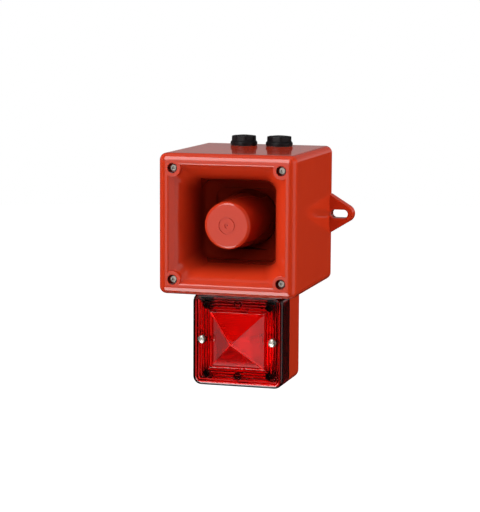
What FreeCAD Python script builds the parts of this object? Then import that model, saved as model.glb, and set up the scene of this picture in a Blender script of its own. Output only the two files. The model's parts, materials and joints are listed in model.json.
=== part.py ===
"""Wall-mounted horn strobe: a square sounder box with a re-entrant horn and a beacon slung under it.

Frame: origin at the centre of the sounder box's flat wall face, +Z up, the horn looks along -Y.
Depth means distance from the wall, measured towards the front, so depth = -Y. Millimetres.
"""
import FreeCAD, Part
import math
import os
import re

import Sketcher

Vector = FreeCAD.Vector
Rotation = FreeCAD.Rotation

# Driving sizes, kept in the document's spreadsheet under these names.
SIZES = {
    # sounder box
    "box_side": 135, "seam_depth": 141, "box_depth": 150, "box_corner": 7, "wall": 4, "rear_wall": 4,
    "front_round": 6.9, "back_round": 5, "groove_out": 66.4, "groove_width": 1.8, "groove_deep": 1.2,
    # wall lugs and their slots
    "lug_thick": 12, "lug_half": 19.4, "lug_tip_centre": 82.3, "lug_tip_radius": 8.8,
    "slot_centre": 77.15, "slot_run": 8.9, "slot_radius": 4.25,
    # cover screws, their bosses and pillars
    "screw_at": 53.3, "boss_radius": 8.3, "boss_back": 128, "pillar_centre": 55.2, "pillar_side": 19,
    "counterbore": 4.7, "counterbore_floor": 142.5, "screw_hole": 2.3, "screw_shank": 2,
    "screw_head": 3.4, "screw_head_tall": 3.2, "socket_radius": 1.5, "pilot_hole": 2.05,
    # top cable entries (M20) and their stopping plugs
    "entry_at": 18.3, "entry_depth": 25.5, "entry_radius": 10, "thread_radius": 9.95, "entry_boss": 14,
    "entry_boss_floor": 56, "seal_thick": 0.8, "plug_skirt": 13.5, "plug_skirt_tall": 4,
    "plug_top": 78.2, "plug_flat": 11.7, "plug_shank": 14,
    # horn flare: half opening = throat + (mouth - throat) * exp(-distance from the front / length)
    "mouth_half": 57.5, "throat_half": 38.5, "flare_length": 14, "flare_wall": 3, "flare_corner": 11,
    "step_depth": 81, "step_thick": 6, "step_half": 30, "step_corner": 10, "chamber": 31,
    "chamber_floor": 60, "horn_back": 57, "horn_flange": 40,
    # nose and tone tube
    "nose_front": 146, "nose_back": 70, "nose_small": 22.4, "nose_big": 28.4, "nose_wall": 2.2,
    "nose_round": 3, "fin_depth": 86, "tube_end": 125, "tube_out": 10, "tube_tip": 9, "tube_bore": 5,
    "tube_bore_tip": 7.2,
    # driver
    "driver_plate_half": 37, "driver_plate_back": 50, "driver_plate_front": 56, "driver_screw_at": 31,
    "can_radius": 32, "can_wall": 1.2, "can_back": 18, "ring_in": 24, "ring_out": 30, "coil_in": 12.6,
    "coil_out": 13.3, "pole_radius": 12.1, "gap_radius": 13.8, "dome_base": 45.6, "dome_radius": 30.1,
    "dome_wall": 0.3, "dome_half": 13.5, "dome_rim": 16.4, "yoke_back": 20, "yoke_front": 25,
    "yoke_radius": 27, "pole_end": 39,
    # sounder circuit board
    "board_depth": 10, "board_thick": 1.6, "board_half": 45, "board_low": -45, "board_high": 42,
    "board_screw_x": 41, "board_screw_low": -41, "board_screw_high": 38,
    # beacon
    "beacon_side": 91, "beacon_z": -116.5, "beacon_corner": 8.5, "base_back": 43, "base_front": 82.7,
    "lens_front": 110, "lens_round": 3.5, "shell": 3, "lens_wall": 2.5, "pyramid_half": 27.2,
    "pyramid_tall": 25, "apex_half": 1.2, "pyramid_inner_half": 23.4, "pyramid_inner_tall": 21.8,
    "lens_screw_at": 35.5, "lens_pillar": 4.3, "lens_pillar_top": 107.3, "lens_screw_head": 4,
    "nipple_depth": 63, "nipple_bore": 6.5, "beacon_board_depth": 78, "beacon_board_half": 38,
    "reflector_depth": 84, "tube_depth": 97, "flash_radius": 2.6, "flash_half": 21,
}

doc = FreeCAD.newDocument("horn_strobe")
dims = doc.addObject("Spreadsheet::Sheet", "dims")
for row, (name, number) in enumerate(SIZES.items(), start=1):
    dims.set("A%d" % row, name)
    dims.set("B%d" % row, str(number))
    dims.setAlias("B%d" % row, name)
doc.recompute()

FINISHED = []


def bind(formula):
    """Turns a formula over size names into an expression on the spreadsheet."""
    def as_cell(word):
        return "dims." + word.group() if word.group() in SIZES else word.group()
    return re.sub(r"[a-z]\w*", as_cell, str(formula))


def value(formula):
    """The number that a formula gives now."""
    return float(dims.evalExpression(bind(formula)))


def tie(thing, prop, formula):
    thing.setExpression(prop, bind(formula))


def place(thing, x="0", depth="0", z="0"):
    """Puts a thing at x, depth from the wall and height, all as formulas."""
    tie(thing, "Placement.Base.x", x)
    tie(thing, "Placement.Base.y", "-(%s)" % depth)
    tie(thing, "Placement.Base.z", z)


def finish(thing, label):
    """Marks a thing as a finished sub-part under its own name."""
    thing.Label = label
    FINISHED.append(thing)
    return thing


# ---- sketches and features -------------------------------------------------------------------


def new_body(name):
    return doc.addObject("PartDesign::Body", name)


def new_sketch(body, plane="XZ_Plane", offset="0"):
    """A sketch on one of the body's own planes; on XZ_Plane the offset is a depth."""
    sketch = body.newObject("Sketcher::SketchObject", body.Name + "_sketch")
    support = next(item for item in body.Origin.OriginFeatures if item.Role == plane)
    sketch.AttachmentSupport = (support, [""])
    sketch.MapMode = "FlatFace"
    tie(sketch, "AttachmentOffset.Base.z", offset)
    return sketch


def pin(sketch, geometry, point, across, up):
    """Fixes a point of the sketch at two formulas from the sketch's origin."""
    for kind, formula in (("DistanceX", across), ("DistanceY", up)):
        number = sketch.addConstraint(Sketcher.Constraint(kind, -1, 1, geometry, point, value(formula)))
        tie(sketch, "Constraints[%d]" % number, formula)


def set_radius(sketch, geometry, radius):
    number = sketch.addConstraint(Sketcher.Constraint("Radius", geometry, value(radius)))
    tie(sketch, "Constraints[%d]" % number, radius)


def draw_circle(sketch, across, up, radius):
    centre = Vector(value(across), value(up), 0)
    circle = sketch.addGeometry(Part.Circle(centre, Vector(0, 0, 1), value(radius)))
    pin(sketch, circle, 3, across, up)
    set_radius(sketch, circle, radius)


def draw_polygon(sketch, points):
    """A closed outline of straight sides, each corner pinned by its two formulas."""
    corners = [Vector(value(across), value(up), 0) for across, up in points]
    sides = []
    for start, end in zip(corners, corners[1:] + corners[:1]):
        sides.append(sketch.addGeometry(Part.LineSegment(start, end)))
    for side, following in zip(sides, sides[1:] + sides[:1]):
        sketch.addConstraint(Sketcher.Constraint("Coincident", side, 2, following, 1))
    for side, (across, up) in zip(sides, points):
        pin(sketch, side, 1, across, up)


def draw_square(sketch, half, corner, across="0", up="0"):
    """A square with round corners: straight sides joined by quarter arcs."""
    reach = value(half)
    radius = value(corner)
    middle = Vector(value(across), value(up), 0)
    inner = reach - radius
    sides = []
    arcs = []
    for quarter in range(4):
        turn = Rotation(Vector(0, 0, 1), 90 * quarter)
        start = middle + turn.multVec(Vector(-inner, -reach, 0))
        end = middle + turn.multVec(Vector(inner, -reach, 0))
        centre = middle + turn.multVec(Vector(inner, -inner, 0))
        sides.append(sketch.addGeometry(Part.LineSegment(start, end)))
        circle = Part.Circle(centre, Vector(0, 0, 1), radius)
        first = math.radians(90 * quarter - 90)
        arcs.append(sketch.addGeometry(Part.ArcOfCircle(circle, first, first + math.pi / 2)))
    signs = [(1, -1), (1, 1), (-1, 1), (-1, -1)]
    for quarter, (side_x, side_y) in enumerate(signs):
        side = sides[quarter]
        arc = arcs[quarter]
        following = sides[(quarter + 1) % 4]
        sketch.addConstraint(Sketcher.Constraint("Tangent", side, 2, arc, 1))
        sketch.addConstraint(Sketcher.Constraint("Tangent", arc, 2, following, 1))
        corner_x = "(%s) + %d * ((%s) - (%s))" % (across, side_x, half, corner)
        corner_y = "(%s) + %d * ((%s) - (%s))" % (up, side_y, half, corner)
        pin(sketch, arc, 3, corner_x, corner_y)
    set_radius(sketch, arcs[0], corner)


def pad(body, sketch, length):
    feature = body.newObject("PartDesign::Pad", body.Name + "_pad")
    feature.Profile = sketch
    tie(feature, "Length", length)
    sketch.Visibility = False
    return feature


def pocket(body, sketch, length):
    """Cuts along the sketch's normal, and checks that something was cut."""
    doc.recompute()
    before = body.Shape.Volume
    feature = body.newObject("PartDesign::Pocket", body.Name + "_pocket")
    feature.Profile = sketch
    feature.Reversed = True
    tie(feature, "Length", length)
    doc.recompute()
    if body.Shape.Volume >= before - 0.01:
        raise RuntimeError("%s cuts nothing" % feature.Name)
    return feature


def turned(name, profile, plane="YZ_Plane"):
    """A body turned round the Y axis from (depth, radius) points, or round Z from (radius, height)."""
    body = new_body(name)
    sketch = new_sketch(body, plane)
    if plane == "YZ_Plane":
        draw_polygon(sketch, [("-(%s)" % depth, radius) for depth, radius in profile])
        axis = "H_Axis"
    else:
        draw_polygon(sketch, profile)
        axis = "V_Axis"
    feature = body.newObject("PartDesign::Revolution", name + "_turn")
    feature.Profile = sketch
    feature.ReferenceAxis = (sketch, [axis])
    feature.Angle = 360
    doc.recompute()
    return body


def round_edges(body, kind, size, wanted):
    """Rounds or bevels the edges of the body's last feature for which wanted(edge) is true."""
    doc.recompute()
    tip = body.Tip
    names = ["Edge%d" % (i + 1) for i, edge in enumerate(tip.Shape.Edges) if wanted(edge)]
    if not names:
        raise RuntimeError("no edges found on %s" % body.Name)
    feature = body.newObject("PartDesign::" + kind, body.Name + "_" + kind.lower())
    feature.Base = (tip, names)
    tie(feature, "Radius" if kind == "Fillet" else "Size", size)
    doc.recompute()
    return feature


def at_depth(depth, reach=None):
    """Finds edges that lie flat at a depth, within reach of the Y axis if that is given."""
    level = -value(depth)

    def wanted(edge):
        box = edge.BoundBox
        flat = abs(box.YMin - level) < 0.01 and abs(box.YMax - level) < 0.01
        near = reach is None or max(abs(box.XMin), abs(box.XMax)) < value(reach)
        return flat and near
    return wanted


# ---- simple solids ---------------------------------------------------------------------------


def block(name, x, depth, z):
    """A box between pairs of formulas: x, depth from the wall and height."""
    box = doc.addObject("Part::Box", name)
    for prop, (low, high) in (("Length", x), ("Width", depth), ("Height", z)):
        tie(box, prop, "(%s) - (%s)" % (high, low))
    place(box, x[0], depth[1], z[0])
    return box


def rod(name, x, z, depth, radius):
    """A cylinder that runs from the first depth to the second."""
    cylinder = doc.addObject("Part::Cylinder", name)
    tie(cylinder, "Radius", radius)
    tie(cylinder, "Height", "(%s) - (%s)" % (depth[1], depth[0]))
    cylinder.Placement.Rotation = Rotation(Vector(1, 0, 0), 90)
    place(cylinder, x, depth[0], z)
    return cylinder


def upright(name, x, depth, z, radius):
    """A cylinder that stands along Z from the first height to the second."""
    cylinder = doc.addObject("Part::Cylinder", name)
    tie(cylinder, "Radius", radius)
    tie(cylinder, "Height", "(%s) - (%s)" % (z[1], z[0]))
    place(cylinder, x, depth, z[0])
    return cylinder


def lying(name, x, depth, z, radius):
    """A cylinder that lies along X between two places."""
    cylinder = doc.addObject("Part::Cylinder", name)
    tie(cylinder, "Radius", radius)
    tie(cylinder, "Height", "(%s) - (%s)" % (x[1], x[0]))
    cylinder.Placement.Rotation = Rotation(Vector(0, 1, 0), 90)
    place(cylinder, x[0], depth, z)
    return cylinder


def join(name, pieces):
    fusion = doc.addObject("Part::MultiFuse", name)
    fusion.Shapes = pieces
    return fusion


def less(name, base, tools):
    """The base with the tools cut out of it."""
    cut = doc.addObject("Part::Cut", name)
    cut.Base = base
    cut.Tool = tools[0] if len(tools) == 1 else join(name + "_tools", tools)
    return cut


def copies(label, thing, spots):
    """One node of identical pieces: the thing linked to each (x, depth, z) spot."""
    links = []
    for number, (x, depth, z) in enumerate(spots, start=1):
        link = doc.addObject("App::Link", "%s_%d" % (label, number))
        link.LinkedObject = thing
        link.LinkTransform = True
        place(link, x, depth, z)
        links.append(link)
    group = doc.addObject("Part::Compound", label)
    group.Links = links
    return finish(group, label)


def corners(reach, depth="0"):
    """The four spots at plus and minus reach in X and Z."""
    spots = []
    for side in ("", "-"):
        for up in ("", "-"):
            spots.append(("%s(%s)" % (side, reach), depth, "%s(%s)" % (up, reach)))
    return spots


def screw(name, head_radius, head_tall, shank_radius, shank_long, drive_radius, drive="hex"):
    """A screw along Y: the underside of its head at depth 0 and its shank towards the wall."""
    head = rod(name + "_head", "0", "0", ("0", head_tall), head_radius)
    shank = rod(name + "_shank", "0", "0", ("-(%s)" % shank_long, "0"), shank_radius)
    whole = join(name + "_blank", [head, shank])
    floor = "(%s) * 0.45" % head_tall
    if drive == "hex":
        recess = doc.addObject("Part::Prism", name + "_socket")
        recess.Polygon = 6
        tie(recess, "Circumradius", drive_radius)
        tie(recess, "Height", head_tall)
        recess.Placement.Rotation = Rotation(Vector(1, 0, 0), 90)
        place(recess, "0", floor, "0")
        return less(name, whole, [recess])
    half = "(%s) * 0.18" % drive_radius
    arms = []
    for turn in ("wide", "tall"):
        wide = drive_radius if turn == "wide" else half
        tall = half if turn == "wide" else drive_radius
        span_x = ("-(%s)" % wide, wide)
        span_z = ("-(%s)" % tall, tall)
        if drive == "slot" and turn == "tall":
            continue
        arms.append(block(name + "_" + turn, span_x, (floor, head_tall), span_z))
    return less(name, whole, arms)


# ---- sounder box -----------------------------------------------------------------------------


def lug_outline(sketch):
    """A triangular ear with a rounded tip, its root flat against the box's side wall."""
    base = value("box_side / 2")
    half = value("lug_half")
    centre = Vector(value("lug_tip_centre"), 0, 0)
    radius = value("lug_tip_radius")
    corner = Vector(base, half, 0)
    away = corner - centre
    touch = math.atan2(away.y, away.x) - math.acos(radius / away.Length)
    top_touch = centre + Vector(math.cos(touch), math.sin(touch), 0) * radius
    low_touch = Vector(top_touch.x, -top_touch.y, 0)
    low_corner = Vector(base, -half, 0)
    low_side = sketch.addGeometry(Part.LineSegment(low_corner, low_touch))
    tip = Part.ArcOfCircle(Part.Circle(centre, Vector(0, 0, 1), radius), -touch, touch)
    arc = sketch.addGeometry(tip)
    top_side = sketch.addGeometry(Part.LineSegment(top_touch, corner))
    root = sketch.addGeometry(Part.LineSegment(corner, low_corner))
    sketch.addConstraint(Sketcher.Constraint("Tangent", low_side, 2, arc, 1))
    sketch.addConstraint(Sketcher.Constraint("Tangent", arc, 2, top_side, 1))
    for first, second in ((top_side, root), (root, low_side)):
        sketch.addConstraint(Sketcher.Constraint("Coincident", first, 2, second, 1))
    pin(sketch, low_side, 1, "box_side / 2", "-lug_half")
    pin(sketch, top_side, 2, "box_side / 2", "lug_half")
    pin(sketch, arc, 3, "lug_tip_centre", "0")
    set_radius(sketch, arc, "lug_tip_radius")


def slot_outline(sketch):
    """A slot along X: two half circles joined by straight sides."""
    radius = value("slot_radius")
    near = Vector(value("slot_centre - slot_run / 2"), 0, 0)
    far = Vector(value("slot_centre + slot_run / 2"), 0, 0)
    up = Vector(0, radius, 0)
    axis = Vector(0, 0, 1)
    half = math.pi / 2
    right = sketch.addGeometry(Part.ArcOfCircle(Part.Circle(far, axis, radius), -half, half))
    top = sketch.addGeometry(Part.LineSegment(far + up, near + up))
    left = sketch.addGeometry(Part.ArcOfCircle(Part.Circle(near, axis, radius), half, 3 * half))
    low = sketch.addGeometry(Part.LineSegment(near - up, far - up))
    ring = (right, top, left, low)
    for first, second in zip(ring, ring[1:] + ring[:1]):
        sketch.addConstraint(Sketcher.Constraint("Tangent", first, 2, second, 1))
    pin(sketch, right, 3, "slot_centre + slot_run / 2", "0")
    pin(sketch, left, 3, "slot_centre - slot_run / 2", "0")
    set_radius(sketch, right, "slot_radius")


def mounting_lugs():
    """The slotted ears on both sides of the box, level with its wall face."""
    body = new_body("mounting_lug")
    ear = new_sketch(body)
    lug_outline(ear)
    pad(body, ear, "lug_thick")
    slit = new_sketch(body)
    slot_outline(slit)
    pocket(body, slit, "lug_thick")
    other_side = doc.addObject("Part::Mirroring", "mounting_lug_mirrored")
    other_side.Source = body
    other_side.Normal = Vector(1, 0, 0)
    pair = doc.addObject("Part::Compound", "mounting_lugs")
    pair.Links = [body, other_side]
    finish(pair, "mounting_lugs")


def rear_housing():
    """The deep square cup that hangs on the wall, with its cable entries and screw pillars."""
    body = new_body("rear_housing")
    outline = new_sketch(body)
    draw_square(outline, "box_side / 2", "box_corner")
    pad(body, outline, "seam_depth")
    round_edges(body, "Fillet", "back_round", at_depth("0"))
    cavity = new_sketch(body, offset="rear_wall")
    draw_square(cavity, "box_side / 2 - wall", "3.5")
    pocket(body, cavity, "seam_depth - rear_wall")

    pillars = new_sketch(body, offset="rear_wall / 2")
    for x, _, z in corners("pillar_centre"):
        draw_square(pillars, "pillar_side / 2", "4", x, z)
    pad(body, pillars, "boss_back - rear_wall / 2")
    pilots = new_sketch(body, offset="boss_back - 30")
    for x, _, z in corners("screw_at"):
        draw_circle(pilots, x, z, "pilot_hole")
    pocket(body, pilots, "31")

    groove = new_sketch(body, offset="seam_depth - groove_deep")
    draw_square(groove, "groove_out", "box_corner - 1.1")
    draw_square(groove, "groove_out - groove_width", "box_corner - 2.9")
    pocket(body, groove, "groove_deep + 1")

    entries = new_sketch(body, "XY_Plane", "entry_boss_floor")
    for side in ("", "-"):
        draw_circle(entries, side + "entry_at", "-entry_depth", "entry_boss")
    pad(body, entries, "box_side / 2 - wall / 2 - entry_boss_floor")
    holes = new_sketch(body, "XY_Plane", "entry_boss_floor - 1")
    for side in ("", "-"):
        draw_circle(holes, side + "entry_at", "-entry_depth", "entry_radius")
    pocket(body, holes, "box_side / 2")
    floor_holes = new_sketch(body, "XY_Plane", "-box_side / 2 - 1")
    for side in ("", "-"):
        draw_circle(floor_holes, side + "entry_at", "-nipple_depth", "entry_radius")
    pocket(body, floor_holes, "wall + 2")
    finish(body, "rear_housing")


def cover_gasket():
    body = new_body("cover_gasket")
    ring = new_sketch(body, offset="seam_depth - groove_deep")
    draw_square(ring, "groove_out", "box_corner - 1.1")
    draw_square(ring, "groove_out - groove_width", "box_corner - 2.9")
    pad(body, ring, "groove_deep")
    finish(body, "cover_gasket")


def flare_half(back):
    """Formula for half of the horn's opening at a distance behind the front."""
    return "throat_half + (mouth_half - throat_half) * exp(-(%s) / flare_length)" % back


def flare_sections(body, distances, extra="0"):
    """Rounded squares that follow the flare, one for each distance behind the front."""
    sections = []
    for back in distances:
        section = new_sketch(body, offset="box_depth - (%s)" % back)
        draw_square(section, "%s + %s" % (flare_half(back), extra), "flare_corner + %s" % extra)
        sections.append(section)
    return sections


def loft(body, kind, sections):
    """A loft with straight sides between its sections."""
    feature = body.newObject("PartDesign::" + kind, body.Name + "_" + kind.lower())
    feature.Profile = sections[0]
    feature.Sections = sections[1:]
    feature.Ruled = True
    doc.recompute()
    return feature


def front_cover():
    """The square front frame: a rounded rim, the start of the flare and the four screw bosses."""
    body = new_body("front_cover")
    outline = new_sketch(body, offset="seam_depth")
    draw_square(outline, "box_side / 2", "box_corner")
    pad(body, outline, "box_depth - seam_depth")
    round_edges(body, "Fillet", "front_round", at_depth("box_depth"))
    loft(body, "SubtractiveLoft", flare_sections(body, ("0", "2.5", "5.5", "box_depth - seam_depth")))
    bosses = new_sketch(body, offset="boss_back")
    for x, _, z in corners("screw_at"):
        draw_circle(bosses, x, z, "boss_radius")
    pad(body, bosses, "box_depth - boss_back")
    bores = new_sketch(body, offset="boss_back")
    for x, _, z in corners("screw_at"):
        draw_circle(bores, x, z, "screw_hole")
    pocket(body, bores, "box_depth - boss_back")
    heads = new_sketch(body, offset="counterbore_floor")
    for x, _, z in corners("screw_at"):
        draw_circle(heads, x, z, "counterbore")
    pocket(body, heads, "box_depth - counterbore_floor")
    finish(body, "front_cover")


def horn_flare():
    """The square funnel that carries the flare on behind the front frame."""
    distances = ("box_depth - seam_depth", "13", "18", "25", "36", "box_depth - step_depth")
    body = new_body("horn_flare")
    loft(body, "AdditiveLoft", flare_sections(body, distances, "flare_wall"))
    loft(body, "SubtractiveLoft", flare_sections(body, distances))
    finish(body, "horn_flare")


def throat_chamber():
    """The horn's closed end: a step, a round chamber, and the flange that carries the driver."""
    body = new_body("throat_chamber")
    flange = new_sketch(body, offset="horn_back")
    draw_square(flange, "horn_flange", "8")
    pad(body, flange, "chamber_floor - horn_back")
    walls = new_sketch(body, offset="horn_back")
    draw_square(walls, "chamber + 2", "step_corner")
    pad(body, walls, "step_depth - horn_back")
    step = new_sketch(body, offset="step_depth - flare_wall")
    draw_square(step, "%s + flare_wall" % flare_half("box_depth - step_depth"), "flare_corner + flare_wall")
    pad(body, step, "flare_wall")
    pillars = new_sketch(body, offset="horn_back")
    for x, _, z in corners("driver_screw_at"):
        draw_circle(pillars, x, z, "5")
    pad(body, pillars, "step_depth - horn_back - 1")
    throat = new_sketch(body, offset="step_depth - step_thick")
    draw_square(throat, "step_half", "step_corner")
    pocket(body, throat, "step_thick")
    chamber = new_sketch(body, offset="chamber_floor")
    draw_circle(chamber, "0", "0", "chamber")
    pocket(body, chamber, "step_depth - step_thick - chamber_floor")
    tube_hole = new_sketch(body, offset="horn_back")
    draw_circle(tube_hole, "0", "0", "tube_out + 0.1")
    pocket(body, tube_hole, "chamber_floor - horn_back")
    driver_holes = new_sketch(body, offset="horn_back")
    for x, _, z in corners("driver_screw_at"):
        draw_circle(driver_holes, x, z, "1.75")
    pocket(body, driver_holes, "12")
    finish(body, "throat_chamber")


def cover_screws():
    long_screw = screw("cover_screw", "screw_head", "screw_head_tall", "screw_shank", "38", "socket_radius")
    copies("cover_screws", long_screw, corners("screw_at", "counterbore_floor"))


def entry_plugs():
    """The stopping plugs of the top entries: threaded shank, flared skirt and eight-sided cap."""
    shank = upright("plug_thread", "0", "0", ("-plug_shank", "0"), "thread_radius")
    skirt = doc.addObject("Part::Cone", "plug_flare")
    tie(skirt, "Radius1", "plug_skirt")
    tie(skirt, "Radius2", "plug_flat + 0.6")
    tie(skirt, "Height", "plug_skirt_tall")
    cap = doc.addObject("Part::Prism", "plug_cap")
    cap.Polygon = 8
    cap_height = "plug_top - box_side / 2 - seal_thick"
    tie(cap, "Circumradius", "plug_flat / cos(22.5)")
    tie(cap, "Height", cap_height)
    cap.Placement.Rotation = Rotation(Vector(0, 0, 1), 22.5)
    whole = join("plug_blank", [shank, skirt, cap])
    doc.recompute()
    rim = []
    for number, edge in enumerate(whole.Shape.Edges, start=1):
        if edge.BoundBox.ZMin > value(cap_height) - 0.01:
            rim.append((number, 1.0, 1.0))
    plug = doc.addObject("Part::Chamfer", "entry_plug")
    plug.Base = whole
    plug.Edges = rim
    spots = [(side + "entry_at", "entry_depth", "box_side / 2 + seal_thick") for side in ("", "-")]
    copies("entry_plugs", plug, spots)


def entry_seals():
    ring = less("entry_seal", upright("seal_disc", "0", "0", ("0", "seal_thick"), "plug_skirt - 0.6"),
                [upright("seal_hole", "0", "0", ("-1", "seal_thick + 1"), "entry_radius + 0.1")])
    copies("entry_seals", ring, [(side + "entry_at", "entry_depth", "box_side / 2") for side in ("", "-")])


def nose():
    """The re-entrant nose: a blunt cup over the tone tube, held to it by a collar on three fins."""
    slope = "(nose_big - nose_small) / (nose_front - nose_back)"
    shoulder = "nose_front - nose_wall"
    inner = "nose_small + %s * nose_wall - nose_wall" % slope
    body = turned("nose_horn", [
        ("nose_back", "nose_big"), ("nose_front", "nose_small"), ("nose_front", "0"), (shoulder, "0"),
        (shoulder, inner), ("nose_back", "nose_big - nose_wall")])
    round_edges(body, "Fillet", "nose_round", at_depth("nose_front"))
    collar = new_sketch(body, offset="fin_depth")
    draw_circle(collar, "0", "0", "tube_out + 2")
    draw_circle(collar, "0", "0", "tube_out")
    fins = new_sketch(body, offset="fin_depth")
    draw_polygon(fins, [("tube_out + 1", "-0.9"), ("nose_big - 2.6", "-0.9"),
                        ("nose_big - 2.6", "0.9"), ("tube_out + 1", "0.9")])
    fin = pad(body, fins, "6")
    around = body.newObject("PartDesign::PolarPattern", "fins_around")
    around.Originals = [fin]
    around.Axis = (fins, ["N_Axis"])
    around.Angle = 360
    around.Occurrences = 3
    body.Tip = around
    doc.recompute()
    pad(body, collar, "6")
    finish(body, "nose_horn")


def tone_tube():
    """The tube that leads the driver's sound forward into the nose."""
    finish(turned("tone_tube", [
        ("54.1", "tube_bore"), ("54.1", "13"), ("horn_back", "13"), ("horn_back", "tube_out"),
        ("100", "tube_out"), ("tube_end", "tube_tip"), ("tube_end", "tube_bore_tip")]), "tone_tube")


# ---- driver ----------------------------------------------------------------------------------


def driver_gasket():
    body = new_body("driver_gasket")
    ring = new_sketch(body, offset="driver_plate_front")
    draw_square(ring, "driver_plate_half", "8")
    draw_circle(ring, "0", "0", "13.2")
    for x, _, z in corners("driver_screw_at"):
        draw_circle(ring, x, z, "2.4")
    pad(body, ring, "horn_back - driver_plate_front")
    finish(body, "driver_gasket")


def driver_front_plate():
    body = new_body("driver_front_plate")
    outline = new_sketch(body, offset="driver_plate_back")
    draw_square(outline, "driver_plate_half", "8")
    pad(body, outline, "driver_plate_front - driver_plate_back")
    throat = new_sketch(body, offset="driver_plate_back")
    draw_circle(throat, "0", "0", "tube_bore")
    pocket(body, throat, "10")
    seat = new_sketch(body, offset="54")
    draw_circle(seat, "0", "0", "13.1")
    pocket(body, seat, "3")
    plug_seat = new_sketch(body, offset="driver_plate_back")
    draw_circle(plug_seat, "0", "0", "14.1")
    pocket(body, plug_seat, "2.6")
    holes = new_sketch(body, offset="driver_plate_back")
    for x, _, z in corners("driver_screw_at"):
        draw_circle(holes, x, z, "2.2")
    pocket(body, holes, "10")
    finish(body, "driver_front_plate")


def phase_plug():
    """A dished disc with a ring of holes that evens out the sound paths from the diaphragm."""
    body = turned("phase_plug", [("50.1", "0"), ("51.6", "0"), ("51.6", "12"), ("52.6", "12"),
                                 ("52.6", "14"), ("50.1", "14")])
    hole = new_sketch(body, offset="49")
    draw_circle(hole, "7.5", "0", "1.4")
    first = pocket(body, hole, "4")
    ring = body.newObject("PartDesign::PolarPattern", "holes_around")
    ring.Originals = [first]
    ring.Axis = (hole, ["N_Axis"])
    ring.Angle = 360
    ring.Occurrences = 8
    body.Tip = ring
    doc.recompute()
    finish(body, "phase_plug")


def diaphragm():
    """A thin dome with a flat rim; the voice coil hangs from the rim."""
    crown = []
    for name, radius in (("dome_outside", "dome_radius"), ("dome_inside", "dome_radius - dome_wall")):
        ball = doc.addObject("Part::Sphere", name)
        tie(ball, "Radius", radius)
        place(ball, "0", "dome_base + 3.2 - dome_radius", "0")
        crown.append(ball)
    shell = less("dome_shell", crown[0], [crown[1]])
    cap = doc.addObject("Part::Common", "dome_cap")
    cap.Base = shell
    cap.Tool = rod("dome_limit", "0", "0", ("dome_base - 0.3", "dome_base + 5"), "dome_half")
    rim = less("dome_rim_ring", rod("rim_disc", "0", "0", ("dome_base - 0.3", "dome_base"), "dome_rim"),
               [rod("rim_hole", "0", "0", ("dome_base - 1", "dome_base + 1"), "dome_half - 0.8")])
    finish(join("diaphragm", [cap, rim]), "diaphragm")


def ring(label, depth, outside, inside):
    """A plain flat ring or tube round the driver's axis."""
    low, high = depth
    return finish(turned(label, [(low, inside), (high, inside), (high, outside), (low, outside)]), label)


def driver_can():
    inner = "can_radius - can_wall"
    finish(turned("driver_can", [
        ("can_back", "0"), ("can_back", "can_radius"), ("driver_plate_back", "can_radius"),
        ("driver_plate_back", inner), ("can_back + can_wall", inner), ("can_back + can_wall", "0")]),
        "driver_can")


def pole_yoke():
    finish(turned("pole_yoke", [
        ("yoke_back", "0"), ("yoke_back", "yoke_radius"), ("yoke_front", "yoke_radius"),
        ("yoke_front", "pole_radius"), ("pole_end", "pole_radius"), ("pole_end", "0")]), "pole_yoke")


def surround():
    """The springy ring between the diaphragm and the clamped rim, with one raised roll."""
    finish(turned("surround", [
        ("45.4", "dome_rim + 0.3"), ("45.4", "18"), ("46.6", "19.5"), ("46.6", "21"), ("45.4", "22.5"),
        ("45.4", "28"), ("45.8", "28"), ("45.8", "22.8"), ("47", "21.3"), ("47", "19.2"),
        ("45.8", "17.7"), ("45.8", "dome_rim + 0.3")]), "surround")


def driver():
    driver_gasket()
    driver_front_plate()
    phase_plug()
    diaphragm()
    surround()
    ring("clamp_ring", ("45.8", "driver_plate_back"), "ring_out", "ring_in")
    ring("basket_ring", ("39", "45.4"), "ring_out", "ring_in")
    ring("voice_coil", ("35.5", "dome_base - 0.3"), "coil_out", "coil_in")
    ring("top_plate", ("35", "39"), "ring_out", "gap_radius")
    ring("magnet", ("25", "35"), "28", "17")
    pole_yoke()
    driver_can()
    short_screw = screw("driver_screw", "3.4", "2.4", "1.7", "0.01", "2", "cross")
    shank = rod("driver_screw_long", "0", "0", ("-16", "0"), "1.7")
    turned_round = join("driver_screw_whole", [short_screw, shank])
    turned_round.Placement.Rotation = Rotation(Vector(0, 0, 1), 180)
    copies("driver_screws", turned_round, corners("driver_screw_at", "driver_plate_back"))
    strip = block("strip_block", ("-can_radius - 2.6", "-can_radius + 1"), ("36", "44"), ("-7", "7"))
    round_can = rod("strip_can", "0", "0", ("30", "50"), "can_radius")
    finish(less("driver_terminals", strip, [round_can]), "driver_terminals")


# ---- sounder electronics ---------------------------------------------------------------------

FACE = "board_depth + board_thick"


def above(height):
    """Depth of a point that stands a height in front of the board."""
    return "%s + %s" % (FACE, height)


def sounder_board():
    body = new_body("sounder_board")
    outline = new_sketch(body, offset="board_depth")
    draw_polygon(outline, [("-board_half", "board_low"), ("board_half", "board_low"),
                           ("board_half", "board_high"), ("-board_half", "board_high")])
    pad(body, outline, "board_thick")
    holes = new_sketch(body, offset="board_depth")
    for x, _, z in board_corners():
        draw_circle(holes, x, z, "1.7")
    pocket(body, holes, "board_thick")
    finish(body, "sounder_board")


def board_corners(depth="0"):
    spots = []
    for side in ("", "-"):
        for level in ("board_screw_low", "board_screw_high"):
            spots.append((side + "board_screw_x", depth, level))
    return spots


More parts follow.
